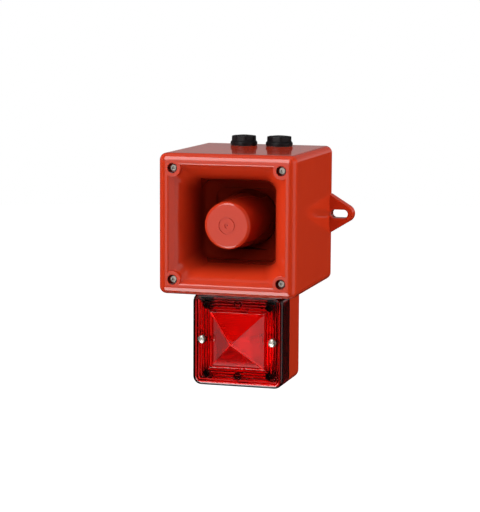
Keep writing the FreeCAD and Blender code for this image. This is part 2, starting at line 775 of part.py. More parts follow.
def board_fixings():
    spacer = less("board_spacer", rod("spacer_post", "0", "0", ("rear_wall", "board_depth"), "3"),
                  [rod("spacer_bore", "0", "0", ("rear_wall - 1", "board_depth + 1"), "1.5")])
    copies("board_spacers", spacer, board_corners())
    fixing = screw("board_screw", "2.8", "1.8", "1.45", "7", "1.6", "cross")
    copies("board_screws", fixing, board_corners(FACE))


def terminal_block():
    """A row of screw terminals under the cable entries: wires go in from above."""
    ways = 8
    pitch = 5.08
    reach = ways * pitch / 2
    body = block("terminal_body", (-reach, reach), (FACE, above("12")), ("33.5", "41.5"))
    cuts = []
    spots = []
    for way in range(ways):
        x = (way + 0.5) * pitch - reach
        cuts.append(rod("clamp_well", x, "37.5", (above("8"), above("13")), "2"))
        cuts.append(upright("wire_way", x, above("4.5"), ("36", "42"), "1.6"))
        spots.append((x, above("9.6"), "37.5"))
    finish(less("terminal_block", body, cuts), "terminal_block")
    clamp = screw("terminal_screw", "1.85", "1.4", "1.2", "1.5", "1.9", "slot")
    copies("terminal_screws", clamp, spots)


def tone_switch():
    """Five small slide levers in one housing that choose the tone."""
    levers = 5
    pitch = 2.54
    centre_x = -31.0
    centre_z = -38.0
    reach = levers * pitch / 2 + 0.8
    body = block("switch_body", (centre_x - reach, centre_x + reach), (FACE, above("5.5")),
                 (centre_z - 4.9, centre_z + 4.9))
    slots = []
    for number in range(levers):
        x = centre_x + (number - (levers - 1) / 2) * pitch
        slots.append(block("lever_slot", (x - 0.75, x + 0.75), (above("2.5"), above("6")),
                           (centre_z - 2.1, centre_z + 2.1)))
        lever = block("tone_lever_%d" % (number + 1), (x - 0.5, x + 0.5), (above("2.8"), above("6.7")),
                      (centre_z - 1.8, centre_z - 0.2))
        finish(lever, "tone_lever_%d" % (number + 1))
    finish(less("tone_switch", body, slots), "tone_switch")


def volume_control():
    """A small preset potentiometer: a square body and a slotted rotor."""
    body = block("pot_block", ("26", "36"), (FACE, above("5")), ("-43", "-33"))
    well = rod("pot_well", "31", "-38", (above("1"), above("6")), "3.3")
    finish(less("volume_pot", body, [well]), "volume_pot")
    knob = rod("rotor_disc", "31", "-38", (above("1.3"), above("6")), "3")
    slit = block("rotor_slot", ("28.6", "33.4"), (above("4.8"), above("7")), ("-38.4", "-37.6"))
    finish(less("volume_rotor", knob, [slit]), "volume_rotor")


def board_parts():
    core = block("core_block", ("28", "45"), (FACE, above("16")), ("20", "32"))
    window = block("core_window", ("30.5", "42.5"), (above("3"), above("13")), ("19", "33"))
    leg = block("core_leg", ("34.5", "38.5"), (above("3"), above("13")), ("20", "32"))
    finish(join("transformer_core", [less("core_frame", core, [window]), leg]), "transformer_core")
    winding = block("winding_block", ("31", "42"), (above("3.2"), above("12.8")), ("18", "34"))
    leg_hole = block("winding_hole", ("34.4", "38.6"), (above("3"), above("13")), ("19.9", "32.1"))
    finish(less("transformer_coil", winding, [leg_hole]), "transformer_coil")
    cans = doc.addObject("Part::Compound", "board_capacitors")
    cans.Links = [rod("reservoir_capacitor", "-36", "25", (FACE, above("20")), "6.3"),
                  rod("coupling_capacitor", "0", "-39.5", (FACE, above("12")), "4")]
    finish(cans, "board_capacitors")
    finish(block("amplifier_chip", ("35", "43"), (FACE, above("1.8")), ("-8", "4")), "amplifier_chip")


def wire_tube(path, radius):
    """A round wire along straight runs and tangent arcs, each point after the first with its bend."""
    edges = []
    here = path[0][0]
    for index in range(1, len(path) - 1):
        point, bend = path[index]
        before = (point - path[index - 1][0]).normalize()
        after = (path[index + 1][0] - point).normalize()
        start = point - before * bend
        end = point + after * bend
        centre = start + after * bend
        middle = centre + (point - centre).normalize() * bend
        edges.append(Part.LineSegment(here, start).toShape())
        edges.append(Part.Arc(start, middle, end).toShape())
        here = end
    edges.append(Part.LineSegment(here, path[-1][0]).toShape())
    spine = Part.Wire(edges)
    direction = (path[1][0] - path[0][0]).normalize()
    section = Part.Wire(Part.Circle(path[0][0], direction, radius).toShape())
    return spine.makePipeShell([section], True, True)


def leads(label, routes, radius=0.9):
    """A node of insulated wires, each along its own route."""
    node = doc.addObject("Part::Feature", label)
    node.Shape = Part.makeCompound([wire_tube(route, radius) for route in routes])
    finish(node, label)


def spot(x, depth, z):
    return Vector(value(x), -value(depth), value(z))


def driver_leads():
    """Two wires from the board to the driver's terminals: out along the depth, then a quarter turn."""
    bend = 8.0
    routes = []
    for z in (-3.5, 3.5):
        end = spot("-can_radius - 2.6", 40, z)
        routes.append([(spot(-44, FACE, z), 0), (spot(-44, 40, z), bend), (end, 0)])
    leads("driver_leads", routes)


def link_leads():
    """Two wires from the board down through a link nipple to the beacon's board."""
    routes = []
    for shift in (-1.8, 1.8):
        x = "entry_at + %s" % shift
        routes.append([
            (spot(x, FACE, -43), 0), (spot(x, "nipple_depth", -43), 10),
            (spot(x, "nipple_depth", -100), 9), (spot(x, "beacon_board_depth", -100), 0)])
    leads("link_leads", routes)


# ---- link between the housings ---------------------------------------------------------------

BEACON_TOP = "beacon_z + beacon_side / 2"
FLOOR = "-box_side / 2"


def link():
    outside = upright("nipple_out", "0", "0", (BEACON_TOP + " - 9", FLOOR + " + wall + 6"), "thread_radius")
    inside = upright("nipple_in", "0", "0", (BEACON_TOP + " - 10", FLOOR + " + wall + 7"), "nipple_bore")
    nipple = less("link_nipple", outside, [inside])
    pair = [(side + "entry_at", "nipple_depth", "0") for side in ("", "-")]
    copies("link_nipples", nipple, pair)
    nuts = []
    for name, level in (("nut_high", FLOOR + " + wall"), ("nut_low", BEACON_TOP + " - shell - 5")):
        nut = doc.addObject("Part::Prism", name + "_hex")
        nut.Polygon = 6
        tie(nut, "Circumradius", "13.8")
        tie(nut, "Height", "5")
        nut.Placement.Rotation = Rotation(Vector(0, 0, 1), 30)
        place(nut, "0", "0", level)
        hole = upright(name + "_hole", "0", "0", (level + " - 1", level + " + 6"), "entry_radius")
        nuts.append(less(name, nut, [hole]))
    both = doc.addObject("Part::Compound", "nut_pair")
    both.Links = nuts
    copies("nipple_locknuts", both, pair)

    body = new_body("link_spacer")
    pad_sketch = new_sketch(body, "XY_Plane", BEACON_TOP)
    draw_polygon(pad_sketch, [("-36", "-47"), ("-36", "-79"), ("36", "-79"), ("36", "-47")])
    for side in ("", "-"):
        draw_circle(pad_sketch, side + "entry_at", "-nipple_depth", "entry_radius")
    pad(body, pad_sketch, "(%s) - (%s)" % (FLOOR, BEACON_TOP))
    finish(body, "link_spacer")


# ---- beacon ----------------------------------------------------------------------------------


def beacon_cross():
    """The four spots at the middle of the beacon's sides where pillars stand."""
    spots = []
    for side in ("", "-"):
        spots.append((side + "lens_screw_at", "0", "beacon_z"))
        spots.append(("0", "0", "beacon_z + %slens_screw_at" % side))
    return spots


def lens_screw_spots(depth):
    return [(side + "lens_screw_at", depth, "beacon_z") for side in ("", "-")]


def beacon_base():
    body = new_body("beacon_base")
    outline = new_sketch(body, offset="base_back")
    draw_square(outline, "beacon_side / 2", "beacon_corner", "0", "beacon_z")
    pad(body, outline, "base_front - base_back")
    round_edges(body, "Fillet", "lens_round", at_depth("base_back"))
    cavity = new_sketch(body, offset="base_back + shell")
    draw_square(cavity, "beacon_side / 2 - shell", "beacon_corner - shell", "0", "beacon_z")
    pocket(body, cavity, "base_front - base_back")
    groove = new_sketch(body, offset="base_front - 1")
    draw_square(groove, "beacon_side / 2 - 0.9", "beacon_corner - 0.9", "0", "beacon_z")
    draw_square(groove, "beacon_side / 2 - 2.1", "beacon_corner - 2.1", "0", "beacon_z")
    pocket(body, groove, "2")
    pillars = new_sketch(body, offset="base_back + shell / 2")
    for x, _, z in beacon_cross():
        draw_circle(pillars, x, z, "lens_pillar")
    pad(body, pillars, "lens_pillar_top - base_back - shell / 2")
    pilots = new_sketch(body, offset="lens_pillar_top - 24")
    for x, _, z in beacon_cross():
        draw_circle(pilots, x, z, "pilot_hole")
    pocket(body, pilots, "25")
    holes = new_sketch(body, "XY_Plane", BEACON_TOP + " - shell - 0.5")
    for side in ("", "-"):
        draw_circle(holes, side + "entry_at", "-nipple_depth", "entry_radius")
    pocket(body, holes, "shell + 1")
    finish(body, "beacon_base")


def lens_gasket():
    body = new_body("lens_gasket")
    band = new_sketch(body, offset="base_front - 1")
    draw_square(band, "beacon_side / 2 - 0.9", "beacon_corner - 0.9", "0", "beacon_z")
    draw_square(band, "beacon_side / 2 - 2.1", "beacon_corner - 2.1", "0", "beacon_z")
    pad(body, band, "1")
    finish(body, "lens_gasket")


def pyramid_sections(body, half, start, tall):
    sections = []
    for reach, depth in ((half, start), ("apex_half", "%s + %s" % (start, tall))):
        section = new_sketch(body, offset=depth)
        draw_square(section, reach, "0.6", "0", "beacon_z")
        sections.append(section)
    return sections


def beacon_lens():
    """A red transparent cap with a hollow pyramid on its front."""
    body = new_body("beacon_lens")
    outline = new_sketch(body, offset="base_front")
    draw_square(outline, "beacon_side / 2", "beacon_corner", "0", "beacon_z")
    pad(body, outline, "lens_front - base_front")
    round_edges(body, "Fillet", "lens_round", at_depth("lens_front"))
    loft(body, "AdditiveLoft", pyramid_sections(body, "pyramid_half", "lens_front", "pyramid_tall"))
    cavity = new_sketch(body, offset="base_front")
    draw_square(cavity, "beacon_side / 2 - lens_wall", "beacon_corner - lens_wall", "0", "beacon_z")
    pocket(body, cavity, "lens_front - lens_wall - base_front")
    loft(body, "SubtractiveLoft",
         pyramid_sections(body, "pyramid_inner_half", "lens_front - lens_wall", "pyramid_inner_tall"))
    holes = new_sketch(body, offset="lens_front - lens_wall")
    for x, _, z in lens_screw_spots("0"):
        draw_circle(holes, x, z, "screw_hole")
    pocket(body, holes, "lens_wall")
    finish(body, "beacon_lens")


def lens_screws():
    fixing = screw("lens_screw", "lens_screw_head", "2.6", "screw_shank", "20", "2.4", "cross")
    copies("lens_screws", fixing, lens_screw_spots("lens_front + 0.6"))
    washer = less("lens_washer", rod("washer_disc", "0", "0", ("0", "0.6"), "3.8"),
                  [rod("washer_hole", "0", "0", ("-1", "2"), "screw_hole")])
    copies("lens_screw_seals", washer, lens_screw_spots("lens_front"))


def beacon_plate(label, depth, thick, hole):
    """A square sheet across the beacon with clearance round the four pillars."""
    body = new_body(label)
    outline = new_sketch(body, offset=depth)
    draw_square(outline, "beacon_board_half", "3", "0", "beacon_z")
    pad(body, outline, thick)
    clear = new_sketch(body, offset=depth)
    for x, _, z in beacon_cross():
        draw_circle(clear, x, z, "lens_pillar + 0.5")
    for x, _, z in corners("31"):
        draw_circle(clear, x, "beacon_z + " + z, hole)
    pocket(body, clear, thick)
    finish(body, label)


def beacon_inside():
    beacon_plate("beacon_board", "beacon_board_depth", "1.6", "1.6")
    beacon_plate("reflector", "reflector_depth", "1", "1.6")
    spots = [(x, "0", "beacon_z + " + z) for x, _, z in corners("31")]
    stand_off = rod("post_out", "0", "0", ("beacon_board_depth + 1.6", "reflector_depth"), "3")
    stand_off_bore = rod("post_in", "0", "0", ("beacon_board_depth", "reflector_depth + 1"), "1.5")
    post = less("beacon_spacer", stand_off, [stand_off_bore])
    copies("reflector_spacers", post, spots)
    fixing = screw("beacon_screw", "3", "2", "1.45", "9", "1.8", "cross")
    copies("reflector_screws", fixing, [(x, "reflector_depth + 1", z) for x, _, z in spots])
    finish(lying("flash_tube", ("-flash_half", "flash_half"), "tube_depth", "beacon_z", "flash_radius"),
           "flash_tube")
    holders = []
    for name, x in (("left", "-flash_half - 1"), ("right", "flash_half - 2")):
        stand = block("holder_" + name, (x, x + " + 3"), ("reflector_depth + 1", "tube_depth + 4"),
                      ("beacon_z - 4", "beacon_z + 4"))
        bore = lying("holder_bore_" + name, ("-flash_half", "flash_half"), "tube_depth", "beacon_z",
                     "flash_radius")
        holders.append(less("tube_holder_" + name, stand, [bore]))
    pair = doc.addObject("Part::Compound", "tube_holders")
    pair.Links = holders
    finish(pair, "tube_holders")
    finish(lying("flash_capacitor", ("-14", "14"), "beacon_board_depth - 8", "beacon_z - 12", "8"),
           "flash_capacitor")
    coil_span = ("beacon_board_depth - 12", "beacon_board_depth")
    finish(rod("trigger_coil", "-22", "beacon_z + 12", coil_span, "5"), "trigger_coil")


def check_and_write():
    """Refuses failed objects and bad shapes, then writes each sub-part as its own STEP file."""
    doc.recompute()
    for thing in doc.Objects:
        if "Invalid" in thing.State or "Error" in thing.State:
            raise RuntimeError("%s failed: %s" % (thing.Name, thing.State))
    os.makedirs("parts", exist_ok=True)
    for part in FINISHED:
        if part.Shape.isNull() or not part.Shape.isValid():
            raise RuntimeError("%s has a bad shape" % part.Label)
        part.Shape.exportStep("parts/%s.step" % part.Label)
        print("%-22s %2d solid(s) %10.1f mm3" % (part.Label, len(part.Shape.Solids), part.Shape.Volume))


rear_housing()
mounting_lugs()
cover_gasket()
front_cover()
horn_flare()
throat_chamber()
cover_screws()
entry_plugs()
entry_seals()
nose()
tone_tube()
driver()
sounder_board()
board_fixings()
terminal_block()
tone_switch()
volume_control()
board_parts()
driver_leads()
link_leads()
link()
beacon_base()
lens_gasket()
beacon_lens()
lens_screws()
beacon_inside()
check_and_write()
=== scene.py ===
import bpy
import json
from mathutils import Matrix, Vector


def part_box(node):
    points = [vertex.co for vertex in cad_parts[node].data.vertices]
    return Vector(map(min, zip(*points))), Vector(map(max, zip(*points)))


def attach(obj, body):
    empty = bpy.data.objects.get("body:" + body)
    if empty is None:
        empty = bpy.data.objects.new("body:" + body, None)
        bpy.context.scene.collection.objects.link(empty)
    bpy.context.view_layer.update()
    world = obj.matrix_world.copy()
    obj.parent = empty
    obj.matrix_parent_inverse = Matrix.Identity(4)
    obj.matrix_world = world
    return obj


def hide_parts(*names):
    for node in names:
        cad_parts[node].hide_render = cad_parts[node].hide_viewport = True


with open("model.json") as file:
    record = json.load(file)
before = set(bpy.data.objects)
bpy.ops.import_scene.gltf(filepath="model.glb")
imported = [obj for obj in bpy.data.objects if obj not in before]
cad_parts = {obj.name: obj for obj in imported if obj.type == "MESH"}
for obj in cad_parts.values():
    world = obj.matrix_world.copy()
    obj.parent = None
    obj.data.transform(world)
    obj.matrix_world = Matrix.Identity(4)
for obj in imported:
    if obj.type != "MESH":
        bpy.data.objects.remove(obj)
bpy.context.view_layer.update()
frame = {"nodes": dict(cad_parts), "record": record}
print(len(frame["nodes"]), "nodes in the frame")

# %% [markdown]
# ## Units and directions
# The frame is in metres, with the wall at y = 0 and the horn looking along -Y. Moulded parts are easier
# to think about in millimetres and as "how far in front of the wall", so one small function turns
# (across, depth, up) in millimetres into a point of the scene.
# %% Units
import json
import math

import bmesh
import bpy
from mathutils import Matrix, Vector

MM = 0.001
BODY = "sounder"
SMOOTH_BELOW = math.radians(32)


def at(across, depth, up):
    """The scene point that is `depth` millimetres in front of the wall."""
    return Vector((across, -depth, up)) * MM


def span(node):
    """A node's box in millimetres: lowest and highest across, depth and up."""
    low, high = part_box(node)
    return ((low.x / MM, high.x / MM), (-high.y / MM, -low.y / MM), (low.z / MM, high.z / MM))


sounder_x, housing_depth = span("rear_housing")[:2]
cover_depth = span("front_cover")[1]
lens_x, lens_depth, lens_z = span("beacon_lens")
base_depth = span("beacon_base")[1]
SIDE = sounder_x[1]
FRONT = cover_depth[1]
SEAM = housing_depth[1]
LENS_MIDDLE = (lens_z[0] + lens_z[1]) / 2
LENS_HALF = lens_x[1]
print("sounder half side %.1f, front at %.1f, seam at %.1f" % (SIDE, FRONT, SEAM))
print("beacon half side %.1f, middle at %.1f" % (LENS_HALF, LENS_MIDDLE))

# %% [markdown]
# ## The camera
# A long lens keeps the box's edges nearly parallel. The camera stands to the right of the horn's axis
# and a little above it, and is turned to a given heading, a pitch and a slight roll, which is simpler
# to repeat exactly than a tracking constraint.
# %% Camera
FOCAL_LENGTH = 131.6
HEADING = math.radians(16.04)
PITCH = math.radians(7.523)
ROLL = math.radians(0.301)
CAMERA_SPOT = Vector((0.4966, -1.8287, 0.2030))
SENSOR_WIDTH = 36
NEAREST = 0.05


def make_camera():
    right = Vector((math.cos(HEADING), math.sin(HEADING), 0))
    look = Vector((
        -math.sin(HEADING) * math.cos(PITCH),
        math.cos(HEADING) * math.cos(PITCH),
        -math.sin(PITCH)))
    up = right.cross(look)
    tilted_right = math.cos(ROLL) * right + math.sin(ROLL) * up
    tilted_up = -math.sin(ROLL) * right + math.cos(ROLL) * up
    data = bpy.data.cameras.new("camera")
    data.lens = FOCAL_LENGTH
    data.sensor_width = SENSOR_WIDTH
    data.clip_start = NEAREST
    camera = bpy.data.objects.new("camera", data)
    bpy.context.scene.collection.objects.link(camera)
    turn = Matrix((tilted_right, tilted_up, -look)).transposed()
    camera.matrix_world = Matrix.Translation(CAMERA_SPOT) @ turn.to_4x4()
    bpy.context.scene.camera = camera
    return camera


camera = make_camera()
print("camera", [round(v, 3) for v in camera.location])

# %% [markdown]
# ## Skins stretched over rings
# A moulding with round corners could be a box with a bevel modifier, but then its corner radius and its
# edge radius can't differ. Here each shell is a stack of outlines, called rings, joined by quads. Every
# ring has the same number of points, so a square outline can flow into a round one.
# %% Rings and skins
CORNER_STEPS = 10
ARC_STEP = math.radians(11)
SAME_POINT = 1e-7


def square_ring(half, corner, steps=CORNER_STEPS):
    """(across, up) points of a square with round corners, from the right side round."""
    points = []
    for quarter in range(4):
        turn = math.radians(90 * quarter)
        for step in range(steps + 1):
            angle = turn + math.radians(90) * step / steps
            reach = half - corner
            middle_across = reach * (1 if quarter in (0, 3) else -1)
            middle_up = reach * (1 if quarter in (0, 1) else -1)
            points.append((middle_across + corner * math.cos(angle), middle_up + corner * math.sin(angle)))
    return points


def round_ring(radius, like):
    """A circle whose points lie in the same directions as those of another ring."""
    return [(radius * math.cos(math.atan2(up, across)), radius * math.sin(math.atan2(up, across)))
            for across, up in like]


def circle_ring(radius, steps=64):
    return [(radius * math.cos(math.tau * i / steps), radius * math.sin(math.tau * i / steps))
            for i in range(steps)]


def soften(path):
    """Rounds the corners of a path of (depth, half, radius) points with arcs of straight steps."""
    smooth = [path[0][:2]]
    for before, here, after in zip(path, path[1:], path[2:]):
        corner = Vector(here[:2])
        if here[2] <= 0:
            smooth.append(tuple(corner))
            continue
        back = (Vector(before[:2]) - corner).normalized()
        ahead = (Vector(after[:2]) - corner).normalized()
        half_angle = back.angle(ahead) / 2
        reach = here[2] / math.tan(half_angle)
        middle = corner + (back + ahead).normalized() * here[2] / math.sin(half_angle)
        start = corner + back * reach - middle
        end = corner + ahead * reach - middle
        turn = start.angle_signed(end)
        steps = max(2, math.ceil(abs(turn) / ARC_STEP))
        for step in range(steps + 1):
            angle = -turn * step / steps
            spun = Vector((start.x * math.cos(angle) - start.y * math.sin(angle),
                           start.x * math.sin(angle) + start.y * math.cos(angle)))
            smooth.append(tuple(middle + spun))
    smooth.append(path[-1][:2])
    return smooth


def new_object(name, mesh):
    thing = bpy.data.objects.new(name, mesh)
    bpy.context.scene.collection.objects.link(thing)
    return thing


def skin(name, rings, closed=False):
    """A mesh of quads between rings of scene points; the ends are capped unless it closes on itself."""
    build = bmesh.new()
    rows = [[build.verts.new(point) for point in ring] for ring in rings]
    pairs = list(zip(rows, rows[1:]))
    if closed:
        pairs.append((rows[-1], rows[0]))
    for row, following in pairs:
        count = len(row)
        for index in range(count):
            after = (index + 1) % count
            build.faces.new((row[index], row[after], following[after], following[index]))
    if not closed:
        build.faces.new(list(reversed(rows[0])))
        build.faces.new(rows[-1])
    bmesh.ops.remove_doubles(build, verts=build.verts, dist=SAME_POINT)
    bmesh.ops.recalc_face_normals(build, faces=build.faces)
    mesh = bpy.data.meshes.new(name)
    build.to_mesh(mesh)
    build.free()
    return new_object(name, mesh)


def lift(ring, depth, across=0.0, up=0.0):
    """Puts an (across, up) outline at a depth in the scene."""
    return [at(across + x, depth, up + z) for x, z in ring]


def turned(name, path, across=0.0, up=0.0, steps=64):
    """A piece turned round an axis along the depth, from (depth, radius, rounding) points."""
    rings = [lift(circle_ring(radius, steps), depth, across, up) for depth, radius in soften(path)]
    return skin(name, rings)


print("a square ring has", len(square_ring(10, 2)), "points")

# %% [markdown]
# ## Joining, cutting and shading
# Bosses and holes are joined and cut with boolean modifiers, which are then applied, so that each piece
# is one clean mesh. Afterwards the faces are shaded smooth, edges sharper than a set angle
# stay crisp, and weighted normals keep the large flat faces looking flat.
# %% Mesh tools
WELD = 2e-6
TINY_EDGE = 1e-6


def baked(thing):
    """Applies every modifier of an object."""
    depsgraph = bpy.context.evaluated_depsgraph_get()
    mesh = bpy.data.meshes.new_from_object(thing.evaluated_get(depsgraph))
    thing.modifiers.clear()
    thing.data = mesh
    return thing


def combine(thing, tool, operation):
    """Joins a tool to a thing, or cuts it away, and removes the tool."""
    step = thing.modifiers.new(operation.lower(), "BOOLEAN")
    step.operation = operation
    step.solver = "EXACT"
    step.object = tool
    bpy.context.view_layer.update()
    baked(thing)
    bpy.data.objects.remove(tool)
    return thing


def merged(name, things):
    """One object from several that don't touch."""
    build = bmesh.new()
    for thing in things:
        build.from_mesh(thing.data)
        bpy.data.objects.remove(thing)
    mesh = bpy.data.meshes.new(name)
    build.to_mesh(mesh)
    build.free()
    return new_object(name, mesh)


def shaded(thing, sharp_above=SMOOTH_BELOW):
    """Smooth faces, crisp edges above an angle, and flat faces that stay flat."""
    build = bmesh.new()
    build.from_mesh(thing.data)
    bmesh.ops.remove_doubles(build, verts=build.verts, dist=WELD)
    bmesh.ops.dissolve_degenerate(build, edges=build.edges, dist=TINY_EDGE)
    for face in build.faces:
        face.smooth = True
    for edge in build.edges:
        edge.smooth = len(edge.link_faces) == 2 and edge.calc_face_angle(0) < sharp_above
    build.to_mesh(thing.data)
    build.free()
    even = thing.modifiers.new("even_normals", "WEIGHTED_NORMAL")
    even.keep_sharp = True
    return baked(thing)


def mount(thing, material, slot, *nodes, body=BODY):
    """Gives a finished piece its material and its body, and hides the nodes that it stands for."""
    thing.data.materials.clear()
    thing.data.materials.append(material)
    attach(thing, body)
    if nodes:
        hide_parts(*nodes)
    print("%-22s %6d faces" % (thing.name, len(thing.data.polygons)))
    return thing


# %% [markdown]
# ## Shader maths as plain arithmetic
# A material's nodes are easier to read as a formula. The class below wraps one socket: adding or
# multiplying two of them adds a Math node, and numbers may stand on either side. Every other node comes
# from one method, which takes the node's type, its settings and what goes into its sockets.
# %% Shader helper


class Shade:
    """One output of a shader tree; arithmetic on it adds Math nodes."""

    def __init__(self, socket):
        self.socket = socket

    def _maths(self, operation, first, second):
        tree = self.socket.id_data
        node = tree.nodes.new("ShaderNodeMath")
        node.operation = operation
        for slot, value in zip(node.inputs, (first, second)):
            if isinstance(value, Shade):
                tree.links.new(value.socket, slot)
            else:
                slot.default_value = value
        return Shade(node.outputs[0])

    def __add__(self, other):
        return self._maths("ADD", self, other)

    __radd__ = __add__

    def __mul__(self, other):
        return self._maths("MULTIPLY", self, other)

    __rmul__ = __mul__

    def __sub__(self, other):
        return self._maths("SUBTRACT", self, other)

    def above(self, level):
        return self._maths("GREATER_THAN", self, level)


class Finish:
    """A material under construction, with one method that adds any node."""

    def __init__(self, name):
        self.material = bpy.data.materials.new(name)
        self.material.use_nodes = True
        self.tree = self.material.node_tree
        self.shader = self.tree.nodes["Principled BSDF"]

    def add(self, kind, output=0, settings=None, **values):
        node = self.tree.nodes.new("ShaderNode" + kind)
        for name, value in (settings or {}).items():
            if name == "stops":
                self._set_stops(node, value)
            else:
                setattr(node, name, value)
        for name, value in values.items():
            self._feed(node.inputs, name.replace("_", " "), value)
        return Shade(node.outputs[output])

    def _set_stops(self, node, stops):
        ramp = node.color_ramp
        for place, grey in stops[2:]:
            ramp.elements.new(place)
        for element, (place, grey) in zip(ramp.elements, stops):
            element.position = place
            element.color = (grey, grey, grey, 1)

    def _feed(self, sockets, name, value):
        socket = next(item for item in sockets if item.name == name and item.enabled)
        if isinstance(value, Shade):
            self.tree.links.new(value.socket, socket)
        else:
            socket.default_value = value

    def place(self):
        return self.add("TexCoord", output=3)

    def clouds(self, scale, detail=4.0, roughness=0.5):
        """Soft noise from 0 to 1 over the object, `scale` waves to the metre."""
        return self.add("TexNoise", Vector=self.place(), Scale=scale, Detail=detail, Roughness=roughness)

    def grades(self, value, *stops):
        return self.add("ValToRGB", settings={"stops": stops}, Fac=value)

    def blend(self, factor, first, second):
        """Mixes two colours by a value."""
        node = self.tree.nodes.new("ShaderNodeMix")
        node.data_type = "RGBA"
        for index, value in ((0, factor), (6, first), (7, second)):
            if isinstance(value, Shade):
                self.tree.links.new(value.socket, node.inputs[index])
            else:
                node.inputs[index].default_value = value
        return Shade(node.outputs[2])

    def bump(self, height, strength, distance):
        return self.add("Bump", Strength=strength, Distance=distance * MM, Height=height)

    def surface(self, **values):
        """Sets or links the shader's own sockets, and hands back the finished material."""
        for name, value in values.items():
            self._feed(self.shader.inputs, name.replace("_", " "), value)
        return self.material


def rgb(red, green, blue):
    return (red, green, blue, 1.0)


print("shader helper ready")

# %% [markdown]
# ## Glossy red moulding
# The boxes are moulded in a flame-red plastic with a high gloss. Polished mould steel leaves an almost
# mirror-smooth skin with a very slight waviness, a few hairline scuffs from handling, and a colour that
# drifts a little from place to place. Noise gives the waviness and the drift, and a stretched noise gives
# the scuffs, which only change the roughness. The horn and the nose also get darker with depth, and the
# screw bores are dark all over. The plastic is one red there too: the darker shade only stands in for the
# shadow in there, and a ramp along Y between two depths gives it.
# %% Red plastic
RED = rgb(0.62, 0.040, 0.010)
RED_DEEP = rgb(0.57, 0.034, 0.009)
# Painted shade: the darker red that the horn, the nose and the bores turn to with depth.
RED_PAINTED_SHADE = rgb(0.22, 0.012, 0.004)


def red_plastic(name, bright_at=0.0, dark_at=0.0):
    """The moulding's finish; between two depths in millimetres it may darken to a painted shade."""
    finish = Finish(name)
    drift = finish.clouds(28, 3)
    waves = finish.clouds(150, 2)
    stretch = finish.add("Mapping", Vector=finish.place(), Scale=(900, 60, 140))
    scuffs = finish.add("TexNoise", Vector=stretch, Scale=1.0, Detail=6.0, Roughness=0.7)
    scuffed = finish.grades(scuffs, (0.62, 0.0), (0.75, 1.0))
    colour = finish.blend(drift, RED, RED_DEEP)
    if bright_at > dark_at:
        along = finish.add("SeparateXYZ", output=1, Vector=finish.place())
        shade_share = (along + bright_at * MM) * (1 / ((bright_at - dark_at) * MM))
        colour = finish.blend(finish.grades(shade_share, (0.0, 0.0), (1.0, 1.0)), colour, RED_PAINTED_SHADE)
    return finish.surface(
        Base_Color=colour,
        Roughness=0.07 + 0.03 * drift + 0.10 * scuffed,
        IOR=1.5,
        Normal=finish.bump(waves, 0.06, 0.03))


red = red_plastic("red_plastic")
red_horn_painted_shade = red_plastic("red_plastic_horn_painted_shade", 139, 102)
red_nose_painted_shade = red_plastic("red_plastic_nose_painted_shade", 140, 88)
# Both depths lie in front of the cover, so the bores carry the painted shade all over.
red_bore_painted_shade = red_plastic("red_plastic_bore_painted_shade", 300, 200)

# %% [markdown]
# ## Transparent red lens
# The lens is clear polycarbonate dyed deep red. Transmission in the main shader bends the light like
# the real wall does, so the fine ribs inside show as bright and dark lines. A faint haze in the
# roughness stands for the flow marks of the moulding.
# %% Lens material
LENS_RED = rgb(0.95, 0.010, 0.008)


def lens_red():
    finish = Finish("red_lens")
    flow = finish.clouds(60, 3)
    return finish.surface(
        Base_Color=finish.blend(flow, LENS_RED, rgb(0.90, 0.008, 0.006)),
        Roughness=0.03 + 0.04 * flow,
        IOR=1.58,
        Transmission_Weight=1.0,
        Normal=finish.bump(finish.clouds(200, 2), 0.05, 0.03))


def lens_edge():
    """Painted shade: a darker copy of the lens plastic for the side walls and the rounded edge, where light
    runs along the plastic and leaves it dark.
    """
    finish = Finish("red_lens_edge_painted_shade")
    flow = finish.clouds(60, 3)
    return finish.surface(
        Base_Color=finish.blend(flow, rgb(0.16, 0.004, 0.004), rgb(0.12, 0.003, 0.003)),
        Roughness=0.03 + 0.04 * flow,
        IOR=1.58,
        Transmission_Weight=1.0)


lens_finish = lens_red()
lens_edge_shade_finish = lens_edge()

# %% [markdown]
# ## The quiet materials
# Nylon plugs, rubber seals, bright screws and everything inside get a shared recipe: a base colour that
# drifts between two shades, a roughness that follows the same noise, and a fine bump at the scale of the
# real grain. Each finish differs in its colours, its gloss and the size of its grain.
# %% Simple finishes


def grained(name, light, dark, rough, grain, depth, metallic=0.0, stretch=(1, 1, 1), **more):
    """A finish with two shades, some variation in its gloss and a fine grain (waves to the metre)."""
    finish = Finish(name)
    where = finish.add("Mapping", Vector=finish.place(), Scale=stretch)
    patches = finish.add("TexNoise", Vector=where, Scale=grain / 12, Detail=5.0)
    fine = finish.add("TexNoise", Vector=where, Scale=grain, Detail=3.0)
    worn = finish.grades(patches, (0.35, 0.0), (0.7, 1.0))
    return finish.surface(
        Base_Color=finish.blend(worn, rgb(*light), rgb(*dark)),
        Roughness=rough + 0.12 * worn - 0.06,
        Metallic=metallic,
        Normal=finish.bump(fine, 0.35, depth),
        **more)


def banded(name, light, dark, rough, pitch, metallic=0.0, direction="Y"):
    """Turns of wire, or sheets in a stack: fine bands along one direction."""
    finish = Finish(name)
    bands = finish.add("TexWave", output=1, settings={"bands_direction": direction, "wave_profile": "SIN"},
                       Vector=finish.place(), Scale=314.0 / pitch, Distortion=0.3)
    return finish.surface(
        Base_Color=finish.blend(bands, rgb(*dark), rgb(*light)),
        Roughness=rough,
        Metallic=metallic,
        Normal=finish.bump(bands, 0.6, 0.08))


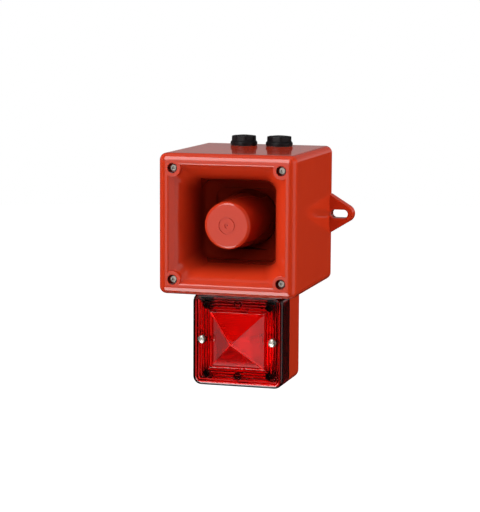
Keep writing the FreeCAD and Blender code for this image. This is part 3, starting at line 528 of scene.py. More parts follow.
def board_green():
    """Circuit board: green mask over faint tracks on a square grid."""
    finish = Finish("board_laminate")
    flat = finish.add("Mapping", Vector=finish.place(), Rotation=(math.radians(90), 0, 0))
    tracks = finish.add("TexBrick", output=1, Vector=flat, Scale=130.0, Mortar_Size=0.09,
                        Brick_Width=0.9, Row_Height=0.3)
    weave = finish.clouds(2200, 2)
    return finish.surface(
        Base_Color=finish.blend(tracks, rgb(0.012, 0.10, 0.035), rgb(0.03, 0.20, 0.07)),
        Roughness=0.28 + 0.1 * weave,
        Normal=finish.bump(tracks + 0.2 * weave, 0.3, 0.03))


def sleeve():
    """Shrunk sleeve of a capacitor: dark blue with one pale stripe."""
    finish = Finish("capacitor_sleeve")
    across = finish.add("SeparateXYZ", Vector=finish.add("TexCoord", output=0))
    stripe = across.above(0.86)
    return finish.surface(
        Base_Color=finish.blend(stripe, rgb(0.012, 0.018, 0.06), rgb(0.45, 0.47, 0.5)),
        Roughness=0.3 + 0.1 * finish.clouds(300),
        Normal=finish.bump(finish.clouds(900), 0.2, 0.02))


def brushed(name, light, dark, rough):
    """Bright screw metal: turning marks round the axis come from stretched noise."""
    return grained(name, light, dark, rough, 1800, 0.01, metallic=1.0, stretch=(1, 8, 1))


finishes = {
    "red_plastic": red,
    "red_lens": lens_finish,
    "black_plastic": grained("black_plastic", (0.003, 0.002, 0.003), (0.006, 0.004, 0.005), 0.42, 1500, 0.02,
                             Specular_IOR_Level=0.25),
    "black_rubber": grained("black_rubber", (0.012, 0.012, 0.012), (0.02, 0.02, 0.02), 0.7, 900, 0.04),
    "bright_steel": brushed("bright_steel", (0.58, 0.54, 0.48), (0.44, 0.41, 0.36), 0.30),
    "plated_steel": brushed("plated_steel", (0.66, 0.66, 0.62), (0.5, 0.5, 0.46), 0.35),
    "cast_aluminium": grained("cast_aluminium", (0.62, 0.62, 0.63), (0.5, 0.5, 0.52), 0.45, 1300, 0.05,
                              metallic=1.0),
    "grey_paint": grained("grey_paint", (0.09, 0.09, 0.1), (0.07, 0.07, 0.075), 0.4, 1000, 0.03),
    "diaphragm_film": grained("diaphragm_film", (0.5, 0.34, 0.13), (0.4, 0.26, 0.09), 0.4, 1600, 0.02),
    "copper_wire": banded("copper_wire", (0.75, 0.32, 0.12), (0.35, 0.12, 0.04), 0.3, 0.5, metallic=1.0),
    "ferrite": grained("ferrite", (0.035, 0.035, 0.04), (0.02, 0.02, 0.022), 0.5, 1200, 0.03),
    "board_laminate": board_green(),
    "pale_plastic": grained("pale_plastic", (0.74, 0.72, 0.66), (0.66, 0.64, 0.58), 0.4, 1400, 0.02),
    "green_plastic": grained("green_plastic", (0.03, 0.26, 0.09), (0.02, 0.2, 0.07), 0.4, 1400, 0.02),
    "switch_body": grained("switch_body", (0.02, 0.06, 0.3), (0.015, 0.045, 0.22), 0.4, 1400, 0.02),
    "laminated_steel": banded("laminated_steel", (0.4, 0.4, 0.42), (0.16, 0.16, 0.17), 0.4, 0.5,
                              metallic=1.0, direction="Z"),
    "capacitor_sleeve": sleeve(),
    "wire_insulation": grained("wire_insulation", (0.34, 0.02, 0.015), (0.26, 0.014, 0.01), 0.38, 900, 0.02),
    "reflector_white": grained("reflector_white", (0.82, 0.82, 0.8), (0.74, 0.74, 0.72), 0.22, 1200, 0.01),
    "clear_glass": grained("clear_glass", (0.95, 0.96, 0.96), (0.88, 0.9, 0.9), 0.1, 700, 0.01,
                           Transmission_Weight=1.0, IOR=1.47),
}
slot_of = {part["node"]: part["material_slot"] for part in frame["record"]["subparts"]}
for node, thing in frame["nodes"].items():
    for place in thing.material_slots:
        place.material = finishes[slot_of[node]]
print(len(finishes), "finishes on", len(slot_of), "nodes")

# %% [markdown]
# ## The front cover and its horn
# One moulding makes the rounded rim, the flaring mouth and the dark throat behind the nose. The flare
# closes quickly at first and then hardly at all, which an exponential curve describes well. Below it a
# funnel leads to a square step, which becomes nearly round further down and ends in a bowl. The whole
# cross-section is one closed path, from the seam round the rim, down the horn and back outside it, so
# the skin has a real wall thickness everywhere.
# %% Front cover path
MOUTH = 57.5
THROAT = 38.5
FLARE_LENGTH = 14.0
FLARE_WALL = 3.0
FLARE_CORNER = 11.0
CROWDING = 1.7
RINGS_INSIDE = 26
RINGS_OUTSIDE = 14
RIM_ROUND = 6.9
RIM_INNER = 60
LIP_ROUND = 2.2
LIP_END = FRONT - 3.6
BOX_CORNER = 7.0
LEAST_CORNER = 1.4
SEAM_EDGE = 0.2
STEP = span("throat_chamber")[1][1]
STEP_HALF = 30.0
STEP_CORNER = 10
STEP_THICK = 2.0
FUNNEL_TOP = STEP + 15.0
BEND_DOWN = 4
BEND_IN = 0.8
BEND_ROUND = 9
FUNNEL_CORNER = 0.12
BLEND = 9
NEARLY_ROUND = STEP_CORNER + 0.5
CHAMBER_FLOOR = 60.0
HORN_BACK = span("throat_chamber")[1][0]
TUBE_HOLE = 10.15
FLANGE_HALF = 40
FLANGE_CORNER = 8


def flare_half(depth):
    """Half of the horn's opening at a depth."""
    return THROAT + (MOUTH - THROAT) * math.exp(-(FRONT - depth) / FLARE_LENGTH)


def flare_depths(first, last, count):
    """Depths that crowd together near the first one."""
    return [first + (last - first) * (i / count) ** CROWDING for i in range(count + 1)]


def box_ring(half):
    """An outline parallel to the box's own, with at least a small corner."""
    return square_ring(half, max(LEAST_CORNER, BOX_CORNER - (SIDE - half)))


def rim_rings():
    """From the seam round the rim and over the lip of the horn."""
    outer = soften([(SEAM, SIDE - SEAM_EDGE, 0), (SEAM + SEAM_EDGE, SIDE, 0),
                    (FRONT, SIDE, RIM_ROUND), (FRONT, RIM_INNER, 0)])
    lip = soften([(FRONT, RIM_INNER, 0), (FRONT, MOUTH + 0.1, LIP_ROUND),
                  (LIP_END, flare_half(LIP_END), 0)])
    rings = [lift(box_ring(half), depth) for depth, half in outer]
    return rings + [lift(square_ring(half, FLARE_CORNER), depth) for depth, half in lip[1:-1]]


def horn_rings():
    """Down the flare and the funnel to the square step."""
    rings = []
    for depth in flare_depths(LIP_END, FUNNEL_TOP, RINGS_INSIDE):
        rings.append(lift(square_ring(flare_half(depth), FLARE_CORNER), depth))
    top = flare_half(FUNNEL_TOP)
    funnel = soften([(FUNNEL_TOP, top, 0), (FUNNEL_TOP - BEND_DOWN, top - BEND_IN, BEND_ROUND),
                     (STEP, STEP_HALF, 1.6), (STEP - STEP_THICK, STEP_HALF, 0)])
    for depth, half in funnel[1:-1]:
        rings.append(lift(square_ring(half, STEP_CORNER + (half - STEP_HALF) * FUNNEL_CORNER), depth))
    return rings


def chamber_rings():
    """The square step, its blend to a near circle, and the bowl down to the tube's hole."""
    step_ring = square_ring(STEP_HALF, STEP_CORNER)
    rings = [lift(step_ring, STEP - STEP_THICK)]
    for share in (0.2, 0.4, 0.6, 0.8, 1.0):
        half = STEP_HALF - 1.0 * share
        corner = STEP_CORNER + (half - NEARLY_ROUND) * share
        rings.append(lift(square_ring(half, corner), STEP - STEP_THICK - BLEND * share))
    bowl = soften([(CHAMBER_FLOOR + 7, STEP_HALF - 1.5, 0), (CHAMBER_FLOOR, STEP_HALF - 3, 8),
                   (CHAMBER_FLOOR - 0.5, TUBE_HOLE + 3, 5), (CHAMBER_FLOOR + 5, TUBE_HOLE, 0)])
    for depth, radius in bowl + [(HORN_BACK, TUBE_HOLE - 0.1)]:
        rings.append(lift(round_ring(radius, step_ring), depth))
    return rings


def outer_rings():
    """The flange behind the chamber and the way back outside the horn to the seam."""
    flange = square_ring(FLANGE_HALF, FLANGE_CORNER)
    shell = square_ring(STEP_HALF + FLARE_WALL, STEP_CORNER)
    rings = [lift(flange, HORN_BACK), lift(flange, CHAMBER_FLOOR)]
    rings += [lift(shell, CHAMBER_FLOOR), lift(shell, STEP - FLARE_WALL)]
    for depth in reversed(flare_depths(SEAM, STEP - FLARE_WALL, RINGS_OUTSIDE)):
        outline = square_ring(flare_half(depth) + FLARE_WALL, FLARE_CORNER + FLARE_WALL)
        rings.append(lift(outline, depth))
    return rings


cover_rings = rim_rings() + horn_rings() + chamber_rings() + outer_rings()
cover = skin("front_cover_moulding", cover_rings, closed=True)
print("step", STEP, "back", HORN_BACK, "floor", CHAMBER_FLOOR)
print("cover skin has", len(cover.data.polygons), "faces")

# %% [markdown]
# ## Screw bosses
# Each corner of the cover has a round boss, level with the rim, with a deep counterbore for a screw.
# The bosses are turned pieces joined to the cover, and the bores are turned tools cut out of it. The
# faces inside the bores then get a darker red, which is painted shade.
# %% Bosses and bores
screw_x, screw_depth = span("cover_screws")[:2]
BOSS = 8.3
BORE = 4.7
BORE_FLOOR = 142.5
BOSS_BACK = 128
SCREW_HOLE = 2.3
HEAD_IN_FRAME = 3.4
SCREW_AT = (screw_x[1] - screw_x[0]) / 2 - HEAD_IN_FRAME
SCREW_SPOTS = [(x * SCREW_AT, z * SCREW_AT) for x in (-1, 1) for z in (-1, 1)]


def bosses():
    pieces = []
    for x, z in SCREW_SPOTS:
        path = [(BOSS_BACK, 2.0, 0), (BOSS_BACK, BOSS, 0),
                (FRONT - 0.02, BOSS, 0.5), (FRONT - 0.02, 2.0, 0)]
        pieces.append(turned("boss", path, x, z))
    return merged("bosses", pieces)


def bores():
    pieces = []
    for x, z in SCREW_SPOTS:
        path = [(120, SCREW_HOLE, 0), (BORE_FLOOR, SCREW_HOLE, 0), (BORE_FLOOR, BORE, 0.4),
                (FRONT - 0.4, BORE, 0), (FRONT + 0.4, BORE + 0.8, 0)]
        pieces.append(turned("bore", path, x, z))
    return merged("bores", pieces)


combine(cover, bosses(), "UNION")
combine(cover, bores(), "DIFFERENCE")
shaded(cover)
# The horn's red darkens with depth: painted shade.
mount(cover, red_horn_painted_shade, "red_plastic", "front_cover", "horn_flare", "throat_chamber")
# The faces inside the bores get the darker red: painted shade for the deep bores.
cover.data.materials.append(red_bore_painted_shade)
for face in cover.data.polygons:
    middle = face.center / MM
    from_screw = math.hypot(abs(middle.x) - SCREW_AT, abs(middle.z) - SCREW_AT)
    if from_screw < BORE + 0.2 and BORE_FLOOR - 1 < -middle.y < FRONT - 0.5:
        face.material_index = 1

# %% [markdown]
# ## The rear housing
# The deep cup behind the seam has a large radius along its four long edges and a smaller one round its
# back. It starts as nested square rings, the outside and the cavity in one skin, and then takes its
# cable entries and the pillars for the cover's screws.
# %% Housing
WALL = 4.0
SKIRT = 13.5
ENTRY_HOLE = 10.0
PILLAR_HALF = 9.5
PILLAR_CORNER = 4
PILLAR_AT = 55.2
PILOT = 2.05
entry_x, entry_depth, entry_z = span("entry_plugs")
ENTRY_AT = (entry_x[1] - entry_x[0]) / 2 - SKIRT
ENTRY_DEPTH = (entry_depth[0] + entry_depth[1]) / 2
nipple_depth = sum(span("link_nipples")[1]) / 2


def upright_rod(name, across, depth, low, high, radius, steps=48):
    """A cylinder along the height, used for entries and holes."""
    rings = [[at(across + x, depth + y, up) for x, y in circle_ring(radius, steps)] for up in (low, high)]
    return skin(name, rings)


def housing_rings():
    outside = soften([(0, 20, 0), (0, SIDE, 5.0),
                      (SEAM - SEAM_EDGE, SIDE, 0), (SEAM, SIDE - SEAM_EDGE, 0)])
    inside = [(SEAM, SIDE - WALL), (WALL, SIDE - WALL)]
    rings = [lift(box_ring(half), depth) for depth, half in outside]
    rings += [lift(square_ring(half, 3.5), depth) for depth, half in inside]
    return rings


housing = skin("rear_housing_moulding", housing_rings())
top_holes = [upright_rod("hole", side * ENTRY_AT, ENTRY_DEPTH, 50, 80, ENTRY_HOLE) for side in (-1, 1)]
low_holes = [upright_rod("hole", side * ENTRY_AT, nipple_depth, -80, -50, ENTRY_HOLE) for side in (-1, 1)]
combine(housing, merged("holes", top_holes + low_holes), "DIFFERENCE")
pillar_ring = square_ring(PILLAR_HALF, PILLAR_CORNER)
pillars = []
for x in (-1, 1):
    for z in (-1, 1):
        ends = [lift(pillar_ring, depth, x * PILLAR_AT, z * PILLAR_AT) for depth in (3, BOSS_BACK)]
        pillars.append(skin("pillar", ends))
combine(housing, merged("pillars", pillars), "UNION")
pilots = [turned("pilot", [(98, PILOT, 0), (129, PILOT, 0)], x, z, 24) for x, z in SCREW_SPOTS]
combine(housing, merged("pilots", pilots), "DIFFERENCE")
shaded(housing)
mount(housing, red, "red_plastic", "rear_housing")

# %% [markdown]
# ## Wall lugs
# The ears are flat, with a rounded tip, a slot and softened edges. An outline is swept through the
# thickness with the outline drawn in a little at both faces, which gives the edge radius, and the slot
# is cut with a tool that widens at the front, for the countersunk rim.
# %% Lugs
lug_x, lug_depth, lug_z = span("mounting_lugs")
LUG_TIP = 8.8
LUG_EDGE = 0.7
LUG_ROOT = SIDE - 1.5
FLANK = 1.25
SLOT_NEAR = 72.7
SLOT_FAR = 81.6
SLOT_HALF = 4.25
SLOT_RIM = 5.85


def lug_outline(inset):
    """The ear's outline, drawn in by an inset, from its lower root round the tip to the upper root."""
    radius = LUG_TIP - inset
    centre = Vector((lug_x[1] - LUG_TIP, 0))
    corner = Vector((SIDE, lug_z[1] - inset * FLANK))
    away = corner - centre
    touch = math.atan2(away.y, away.x) - math.acos(radius / away.length)
    steps = 24
    points = [(LUG_ROOT, -corner.y), (SIDE, -corner.y)]
    for step in range(steps + 1):
        angle = touch * (2 * step / steps - 1)
        points.append((centre.x + radius * math.cos(angle), radius * math.sin(angle)))
    return points + [(SIDE, corner.y), (LUG_ROOT, corner.y)]


def slot_outline(radius):
    """A slot along X as wide as twice the radius."""
    points = []
    for middle, first in ((SLOT_FAR, -90), (SLOT_NEAR, 90)):
        for step in range(17):
            angle = math.radians(first + 180 * step / 16)
            points.append((middle + radius * math.cos(angle), radius * math.sin(angle)))
    return points


thick = lug_depth[1]
ear_path = [(0, 0.3), (0.3, 0), (thick - LUG_EDGE, 0), (thick - 0.2, LUG_EDGE - 0.45), (thick, LUG_EDGE)]
slot_path = [(-1, SLOT_HALF), (thick - 0.8, SLOT_HALF), (thick + 0.8, SLOT_RIM)]


def lug(name, side):
    ear = [[at(side * x, depth, z) for x, z in lug_outline(inset)] for depth, inset in ear_path]
    slot = [[at(side * x, depth, z) for x, z in slot_outline(radius)] for depth, radius in slot_path]
    return combine(skin(name, ear), skin("slot", slot), "DIFFERENCE")


ears = shaded(merged("mounting_lugs_moulding", [lug("ear_left", -1), lug("ear_right", 1)]))
mount(ears, red, "red_plastic", "mounting_lugs")

# %% [markdown]
# ## The nose
# A blunt cup hides the end of the tone tube. It is turned in one closed path, outside and inside. The
# flat front carries a shallow moulded sign, a plain ring in two halves round a dot.
# %% Nose
nose_x, nose_depth = span("nose_horn")[:2]
NOSE_FRONT = nose_depth[1]
NOSE_SMALL = 22.4
NOSE_BIG = nose_x[1]
NOSE_BACK = nose_depth[0]
NOSE_WALL = 2.2
SIGN_DEEP = 0.9
SIGN_INNER = 7.0
SIGN_OUTER = 8.2
SIGN_DOT = 2.6


def nose():
    seam = (NOSE_BACK + 0.5, NOSE_BIG - NOSE_WALL, 0)
    path = [seam, (NOSE_BACK, NOSE_BIG - NOSE_WALL + 0.4, 0),
            (NOSE_BACK, NOSE_BIG, 0.6), (NOSE_FRONT, NOSE_SMALL, 3.0), (NOSE_FRONT, 0.3, 0),
            (NOSE_FRONT - NOSE_WALL, 0.3, 0), (NOSE_FRONT - NOSE_WALL, NOSE_SMALL - NOSE_WALL, 1.5), seam]
    rings = [lift(circle_ring(radius, 96), depth) for depth, radius in soften(path)[:-1]]
    return skin("nose_moulding", rings, closed=True)


def sign_groove(name, start, end):
    """A curved tool that presses a groove into the nose's face between two angles."""
    steps = 40
    outline = []
    for radius, order in ((SIGN_OUTER, range(steps + 1)), (SIGN_INNER, range(steps, -1, -1))):
        for step in order:
            angle = math.radians(start + (end - start) * step / steps)
            outline.append((radius * math.cos(angle), radius * math.sin(angle)))
    return skin(name, [lift(outline, depth) for depth in (NOSE_FRONT - SIGN_DEEP, NOSE_FRONT + 1)])


nose_piece = nose()
dot_path = [(NOSE_FRONT - SIGN_DEEP, SIGN_DOT, 0), (NOSE_FRONT + 1, SIGN_DOT, 0)]
marks = [turned("dot", dot_path, steps=40), sign_groove("ring", 1, 179), sign_groove("ring", 181, 359)]
combine(nose_piece, merged("marks", marks), "DIFFERENCE")
shaded(nose_piece)
# The nose's red darkens towards its back: painted shade.
mount(nose_piece, red_nose_painted_shade, "red_plastic", "nose_horn")

# %% [markdown]
# ## Stopping plugs
# The two spare cable entries are closed by black nylon plugs: a threaded shank, made plain here, a flared
# skirt and a cap with eight flats and a slightly domed top. The cap's ring is an octagon with trimmed
# corners, and it has as many points as the skirt's ring, so that one can flow into the other.
# %% Plugs
seal_top = span("entry_seals")[2][1]
PLUG_TOP = entry_z[1]
FLAT = 11.75
OCTAGON_TRIM = 1.055
SHANK = 9.8


def octagon_ring(flat, steps=64):
    """An eight-sided outline with its corners pulled in a little."""
    ring = []
    for index in range(steps):
        angle = math.tau * index / steps
        off = (angle + math.pi / 8) % (math.pi / 4) - math.pi / 8
        radius = min(flat / math.cos(off), flat * OCTAGON_TRIM)
        ring.append((radius * math.cos(angle), radius * math.sin(angle)))
    return ring


def plug(side):
    levels = [(entry_z[0], circle_ring(8.6)), (entry_z[0] + 1.2, circle_ring(SHANK)),
              (seal_top, circle_ring(SHANK)),
              (seal_top, circle_ring(SKIRT - 0.3)), (seal_top + 0.3, circle_ring(SKIRT)),
              (seal_top + 2.4, circle_ring(SKIRT)), (seal_top + 2.9, circle_ring(SKIRT - 0.25)),
              (seal_top + 4.0, circle_ring(FLAT + 0.7)), (seal_top + 4.2, octagon_ring(FLAT - 0.1)),
              (PLUG_TOP - 1.6, octagon_ring(FLAT - 0.2)), (PLUG_TOP - 1.1, octagon_ring(FLAT - 0.4)),
              (PLUG_TOP - 0.9, octagon_ring(FLAT - 0.8)), (PLUG_TOP - 0.8, octagon_ring(FLAT - 1.3))]
    for share in (0.8, 0.6, 0.4, 0.2, 0.05):
        levels.append((PLUG_TOP - 0.9 * share ** 2, circle_ring((FLAT - 1.4) * share)))
    rings = [[at(side * ENTRY_AT + x, ENTRY_DEPTH + y, up) for x, y in ring] for up, ring in levels]
    return skin("plug", rings)


plugs = shaded(merged("entry_plugs_moulding", [plug(-1), plug(1)]))
mount(plugs, finishes["black_plastic"], "black_plastic", "entry_plugs")

# %% [markdown]
# ## The beacon's lens
# Outside, the lens is a smooth rounded box with a blunt pyramid in the middle. Inside, its front carries
# fine ribs that run round in squares and spread the flash. Those ribs are real here: the inner skin
# zigzags by a fraction of a millimetre from ring to ring. Four short pegs stand behind its corners; their
# black is painted shade, and the side walls and rounded edge get a darker lens tint, also painted shade.
# %% Lens
LENS_BACK = lens_depth[0]
APEX = lens_depth[1]
LENS_FACE = 110.0
LENS_CORNER = 8.5
LENS_WALL = 2.5
LENS_INNER = LENS_HALF - LENS_WALL
INNER_FACE = LENS_FACE - LENS_WALL
INNER_CORNER = 6
LENS_STEPS = 8
LENS_SCREW_AT = 35.5
LENS_FOLD = math.radians(20)
PYRAMID = 27.2
TIP_WALL = 3.4
RIB_PITCH = 2.9
RIB_TALL = 0.9
FINE_PITCH = 1.4
FINE_TALL = 0.28
PEG = 3.6
PEG_END = 96.0
PEG_ACROSS = 31.5
PEG_UP = 33.5


def lens_rings():
    def ring(depth, half, corner):
        fitting = max(0.25, min(corner, half * 0.95))
        return lift(square_ring(half, fitting, LENS_STEPS), depth, 0, LENS_MIDDLE)

    rings = []
    outer = soften([(LENS_BACK, LENS_HALF - 3, 0), (LENS_BACK, LENS_HALF, 0.3), (LENS_FACE, LENS_HALF, 3.4),
                    (LENS_FACE, PYRAMID + 3, 0)])
    for depth, half in outer:
        rings.append(ring(depth, half, LENS_CORNER - (LENS_HALF - half)))
    slope = soften([(LENS_FACE, PYRAMID + 3, 0), (LENS_FACE, PYRAMID, 0.6),
                    (APEX + 0.7, 0.0, 1.3), (APEX + 0.7, -3, 0)])
    for depth, half in slope[1:]:
        if half > 0.05:
            rings.append(ring(min(depth, APEX - 0.02), half, 0.5))
    tip = len(rings)
    rings.append(ring(APEX - TIP_WALL, 0.3, 0.2))
    ribs = 2 * int(PYRAMID / FINE_PITCH)
    for index in range(1, ribs + 1):
        half = PYRAMID * index / ribs
        depth = APEX - TIP_WALL + (INNER_FACE - APEX + TIP_WALL) * index / ribs
        rings.append(ring(depth - (FINE_TALL if index % 2 else 0), half, 0.4))
    flat_ribs = 2 * int((LENS_INNER - PYRAMID) / RIB_PITCH)
    start = PYRAMID + 0.3
    for index in range(1, flat_ribs + 1):
        half = start + (LENS_INNER - 1.5 - start) * index / flat_ribs
        depth = INNER_FACE - (RIB_TALL if index % 2 else 0)
        rings.append(ring(depth, half, max(0.5, INNER_CORNER - (LENS_INNER - half))))
    rings.append(ring(INNER_FACE - 1.5, LENS_INNER, INNER_CORNER))
    rings.append(ring(LENS_BACK, LENS_INNER, INNER_CORNER))
    return rings, tip


rings, tip = lens_rings()
outside = rings[:tip]
inside = rings[tip:]
lens = skin("beacon_lens_moulding", list(reversed(outside)) + list(reversed(inside)))
peg_root = INNER_FACE + 0.4
peg_path = [(PEG_END, 1.0, 0), (PEG_END, PEG, 0.5), (peg_root, PEG, 0), (peg_root, 1.0, 0)]
pegs = [turned("peg", peg_path, x * PEG_ACROSS, LENS_MIDDLE + z * PEG_UP, 24)
        for x in (-1, 1) for z in (-1, 1)]
combine(lens, merged("pegs", pegs), "UNION")
hole_path = [(100, SCREW_HOLE, 0), (120, SCREW_HOLE, 0)]
lens_holes = [turned("hole", hole_path, side * LENS_SCREW_AT, LENS_MIDDLE, 32) for side in (-1, 1)]
combine(lens, merged("lens_holes", lens_holes), "DIFFERENCE")
shaded(lens, LENS_FOLD)
mount(lens, lens_finish, "red_lens", "beacon_lens")
lens.data.materials.append(lens_edge_shade_finish)
# The pegs' black is painted shade.
lens.data.materials.append(finishes["black_plastic"])
# The side walls and the rounded edge take the darker lens tint: painted shade.
for face in lens.data.polygons:
    middle = face.center / MM
    reach = max(abs(middle.x), abs(middle.z - LENS_MIDDLE))
    on_peg = abs(abs(middle.x) - PEG_ACROSS) < PEG and abs(abs(middle.z - LENS_MIDDLE) - PEG_UP) < PEG
    if on_peg and -middle.y < INNER_FACE - 1.0:
        face.material_index = 2
    elif reach > LENS_HALF - 3.0 or -middle.y < INNER_FACE - 1.6:
        face.material_index = 1

# %% [markdown]
# ## The beacon's base
# The opaque half of the beacon is a plain cup with the same corners as the lens, and four posts that
# reach up behind the lens. Two of them take the lens screws. The posts are black from the lens's back on,
# which is painted shade.
# %% Base
BASE_FRONT = base_depth[1]
BASE_BACK = base_depth[0]
POST = 4.3
POST_HOLE = 2.6
POST_HOLE_FLOOR = BASE_FRONT - 12


def base_rings():
    outside = soften([(BASE_BACK, 20, 0), (BASE_BACK, LENS_HALF, 3.5), (LENS_BACK, LENS_HALF, 0.25),
                      (LENS_BACK, LENS_HALF - 3, 0), (BASE_BACK + 3, LENS_HALF - 3, 0)])
    rings = []
    for depth, half in outside:
        corner = max(1.5, LENS_CORNER - (LENS_HALF - half))
        rings.append(lift(square_ring(half, corner, LENS_STEPS), depth, 0, LENS_MIDDLE))
    return rings


base = skin("beacon_base_moulding", base_rings())
cross = [(-LENS_SCREW_AT, 0), (LENS_SCREW_AT, 0), (0, -LENS_SCREW_AT), (0, LENS_SCREW_AT)]
post_path = [(BASE_BACK + 1, POST, 0), (BASE_FRONT, POST, 0.3), (BASE_FRONT, POST_HOLE, 0),
             (POST_HOLE_FLOOR, POST_HOLE, 0), (POST_HOLE_FLOOR, 0.4, 0)]
posts = [turned("post", post_path, x, LENS_MIDDLE + z, 32) for x, z in cross]
combine(base, merged("posts", posts), "UNION")
shaded(base)
mount(base, red, "red_plastic", "beacon_base")
base.data.materials.append(finishes["black_plastic"])
# From the lens's back on, the posts are black: painted shade.
for face in base.data.polygons:
    face.material_index = 1 if -face.center.y / MM > LENS_BACK + 1 else 0

# %% [markdown]
# ## Screws
# The cover's screws have cylinder heads with a hexagon socket; the lens screws are pan heads with a cross
# recess. A turned blank gives the crown and the chamfer, and the recess is cut with a straight tool. The
# cover's screws sit deep in their bores and get a rougher, darker steel; the darker colour is painted shade.
# %% Screws
lens_screw_depth = span("lens_screws")[1]
SHAFT = 2.0
POINT = 0.6
HEAD = 3.15
SOCKET = 1.6
SOCKET_DEEP = 1.8
LENS_HEAD = 3.95
LENS_HEAD_TALL = 2.6
CROSS_LONG = 2.1
CROSS_HALF = 0.35
CROSS_DEEP = 1.3
CROSS_TURN = 35


def hexagon_tool(name, radius, depth_from, depth_to, across, up):
    """A six-sided bar along the depth."""
    outline = []
    for i in range(6):
        angle = math.tau * (i + 0.5) / 6
        outline.append((radius * math.cos(angle), radius * math.sin(angle)))
    return skin(name, [lift(outline, depth, across, up) for depth in (depth_from, depth_to)])


def cover_screw(x, z):
    top = screw_depth[1]
    path = [(screw_depth[0], POINT, 0), (screw_depth[0] + 1, SHAFT, 0), (BORE_FLOOR, SHAFT, 0),
            (BORE_FLOOR, HEAD, 0.2), (top, HEAD, 0.5), (top, 0.3, 0)]
    socket = hexagon_tool("socket", SOCKET, top - SOCKET_DEEP, top + 0.1, x, z)
    return combine(turned("screw", path, x, z, 40), socket, "DIFFERENCE")


def lens_screw(side):
    top = lens_screw_depth[1]
    under = top - LENS_HEAD_TALL
    x = side * LENS_SCREW_AT
    path = [(lens_screw_depth[0], POINT, 0), (lens_screw_depth[0] + 1, SHAFT, 0), (under, SHAFT, 0),
            (under, LENS_HEAD, 0.15), (top - 0.9, LENS_HEAD, 0.4), (top - 0.25, 2.8, 1.2), (top, 0.3, 0)]
    blank = turned("screw", path, x, LENS_MIDDLE, 48)
    turn = math.radians(CROSS_TURN * side)
    corners = ((-CROSS_LONG, -CROSS_HALF), (CROSS_LONG, -CROSS_HALF),
               (CROSS_LONG, CROSS_HALF), (-CROSS_LONG, CROSS_HALF))
    arms = []
    for quarter in (0, 90):
        angle = turn + math.radians(quarter)
        outline = []
        for a, b in corners:
            outline.append((a * math.cos(angle) - b * math.sin(angle),
                            a * math.sin(angle) + b * math.cos(angle)))
        ends = [lift(outline, depth, x, LENS_MIDDLE) for depth in (top - CROSS_DEEP, top + 0.3)]
        arms.append(skin("arm", ends))
    for arm in arms:
        combine(blank, arm, "DIFFERENCE")
    return blank


cover_screws = shaded(merged("cover_screws_turned", [cover_screw(x, z) for x, z in SCREW_SPOTS]))
# A darker, rougher copy of the screw steel; the darker colour is painted shade for the deep bores.
dull_steel_painted_shade = brushed("dull_steel_painted_shade", (0.40, 0.36, 0.32), (0.27, 0.24, 0.21), 0.38)
mount(cover_screws, dull_steel_painted_shade, "bright_steel", "cover_screws")
lens_screws = shaded(merged("lens_screws_turned", [lens_screw(-1), lens_screw(1)]))
mount(lens_screws, finishes["bright_steel"], "bright_steel", "lens_screws")

# %% [markdown]
# ## Light and floor
# Glossy red plastic shows whatever surrounds it, so the light is split in two. The panels called fill
# light matt surfaces and don't show as reflections. The strips and cards show as reflections and don't
# light matt surfaces. Where the camera looks straight at it, the room is white. In reflections it is grey
# above the horizon and dark below it, and for soft light it is dimmed to a quarter. The floor glows white
# for the camera and takes no part in soft light or reflections.
# %% Studio
STUDIO_MIDDLE = Vector((0, -0.10, 0))
FLOOR_UP = -0.62
FLOOR_STEPS = 48
SKY = ((0.0, 0.02), (0.47, 0.004), (0.5, 0.02), (0.515, 0.34), (0.62, 0.12), (1.0, 0.12))
DIMMED_BY = 0.75


def panel(name, heading, height, distance, size, brightness, shows):
    """A soft panel facing the horn, at angles to the right and up in degrees, either matt or gloss."""
    turn = math.radians(heading)
    lift_angle = math.radians(height)
    data = bpy.data.lights.new(name, "AREA")
    data.shape = "RECTANGLE"
    data.size, data.size_y = size
    data.energy = brightness * math.pi * size[0] * size[1]
    lamp = bpy.data.objects.new(name, data)
    bpy.context.scene.collection.objects.link(lamp)
    away = Vector((math.sin(turn) * math.cos(lift_angle), -math.cos(turn) * math.cos(lift_angle),
                   math.sin(lift_angle)))
    lamp.location = STUDIO_MIDDLE + away * distance
    lamp.rotation_euler = away.to_track_quat("Z", "Y").to_euler()
    lamp.visible_glossy = shows != "matt"
    lamp.visible_diffuse = shows != "gloss"


def floor():
    build = bmesh.new()
    rings = []
    for reach in (0.4, 1.5, 6.0):
        ring = []
        for i in range(FLOOR_STEPS):
            angle = math.tau * i / FLOOR_STEPS
            ring.append(build.verts.new((reach * math.cos(angle), reach * math.sin(angle), FLOOR_UP)))
        rings.append(ring)
    build.faces.new(rings[0])
    for row, following in zip(rings, rings[1:]):
        for index in range(FLOOR_STEPS):
            after = (index + 1) % FLOOR_STEPS
            build.faces.new((row[index], following[index], following[after], row[after]))
    mesh = bpy.data.meshes.new("floor")
    build.to_mesh(mesh)
    build.free()
    plane = new_object("floor", mesh)
    finish = Finish("floor_paper")
    paper = finish.surface(
        Base_Color=rgb(0.85, 0.85, 0.85),
        Roughness=0.9,
        Emission_Color=rgb(1, 1, 1),
        Emission_Strength=1.0)
    plane.data.materials.append(paper)
    plane.visible_glossy = False
    plane.visible_diffuse = False


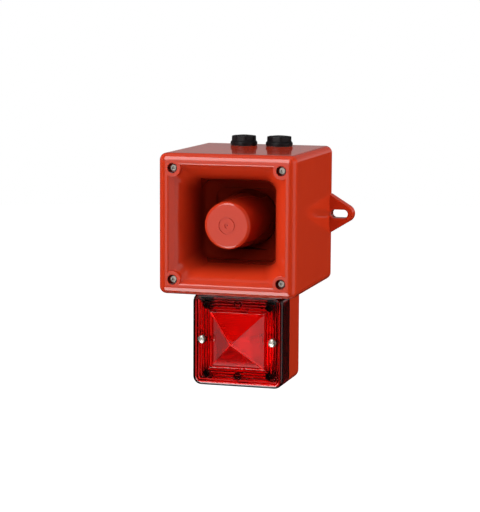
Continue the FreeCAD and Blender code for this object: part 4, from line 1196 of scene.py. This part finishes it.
def room():
    world = bpy.data.worlds.new("room")
    bpy.context.scene.world = world
    world.use_nodes = True
    tree = world.node_tree
    background = tree.nodes["Background"]
    place = tree.nodes.new("ShaderNodeTexCoord")
    split = tree.nodes.new("ShaderNodeSeparateXYZ")
    tree.links.new(place.outputs["Generated"], split.inputs[0])
    ramp = tree.nodes.new("ShaderNodeValToRGB")
    lift_up = tree.nodes.new("ShaderNodeMath")
    lift_up.operation = "MULTIPLY_ADD"
    lift_up.inputs[1].default_value = 0.5
    lift_up.inputs[2].default_value = 0.5
    tree.links.new(split.outputs[2], lift_up.inputs[0])
    tree.links.new(lift_up.outputs[0], ramp.inputs[0])
    for place_at, grey in SKY[2:]:
        ramp.color_ramp.elements.new(place_at)
    for element, (place_at, grey) in zip(ramp.color_ramp.elements, SKY):
        element.position = place_at
        element.color = (grey, grey, grey, 1)
    path = tree.nodes.new("ShaderNodeLightPath")
    mix = tree.nodes.new("ShaderNodeMix")
    mix.data_type = "RGBA"
    tree.links.new(path.outputs["Is Camera Ray"], mix.inputs[0])
    tree.links.new(ramp.outputs[0], mix.inputs[6])
    mix.inputs[7].default_value = (1, 1, 1, 1)
    tree.links.new(mix.outputs[2], background.inputs[0])
    dim = tree.nodes.new("ShaderNodeMath")
    dim.operation = "MULTIPLY_ADD"
    dim.inputs[1].default_value = -DIMMED_BY
    dim.inputs[2].default_value = 1.0
    tree.links.new(path.outputs["Is Diffuse Ray"], dim.inputs[0])
    tree.links.new(dim.outputs[0], background.inputs[1])


floor()
room()
panel("top_fill", -20, 72, 1.2, (1.3, 0.9), 2.7, "matt")
panel("right_fill", 92, 6, 0.9, (0.55, 0.9), 4.9, "matt")
panel("left_fill", -60, 12, 2.4, (1.4, 2.0), 5.2, "matt")
panel("front_fill", 6, 8, 0.38, (0.10, 0.10), 12.0, "matt")
panel("back_fill", 172, 10, 1.6, (1.2, 1.2), 2.4, "matt")
panel("low_fill", -15, -64, 1.2, (1.0, 0.6), 2.6, "matt")
panel("upper_strip", -18, 34, 1.3, (0.50, 1.10), 6.2, "gloss")
panel("lower_strip", -18, -42, 1.3, (0.50, 1.10), 7.0, "gloss")
panel("front_card", -15.5, 0, 1.8, (0.56, 0.665), 1.2, "gloss")
panel("right_card", 78, 0, 1.2, (1.1, 1.6), 0.7, "gloss")
panel("left_card", -104, 0, 1.2, (0.7, 1.2), 0.26, "gloss")
panel("top_card", -20, 84, 1.2, (1.2, 0.8), 0.3, "gloss")
panel("under_card", 180, -80, 0.46, (0.5, 0.111), 0.75, "gloss")
bpy.context.scene.view_settings.view_transform = "Standard"
print("studio ready")
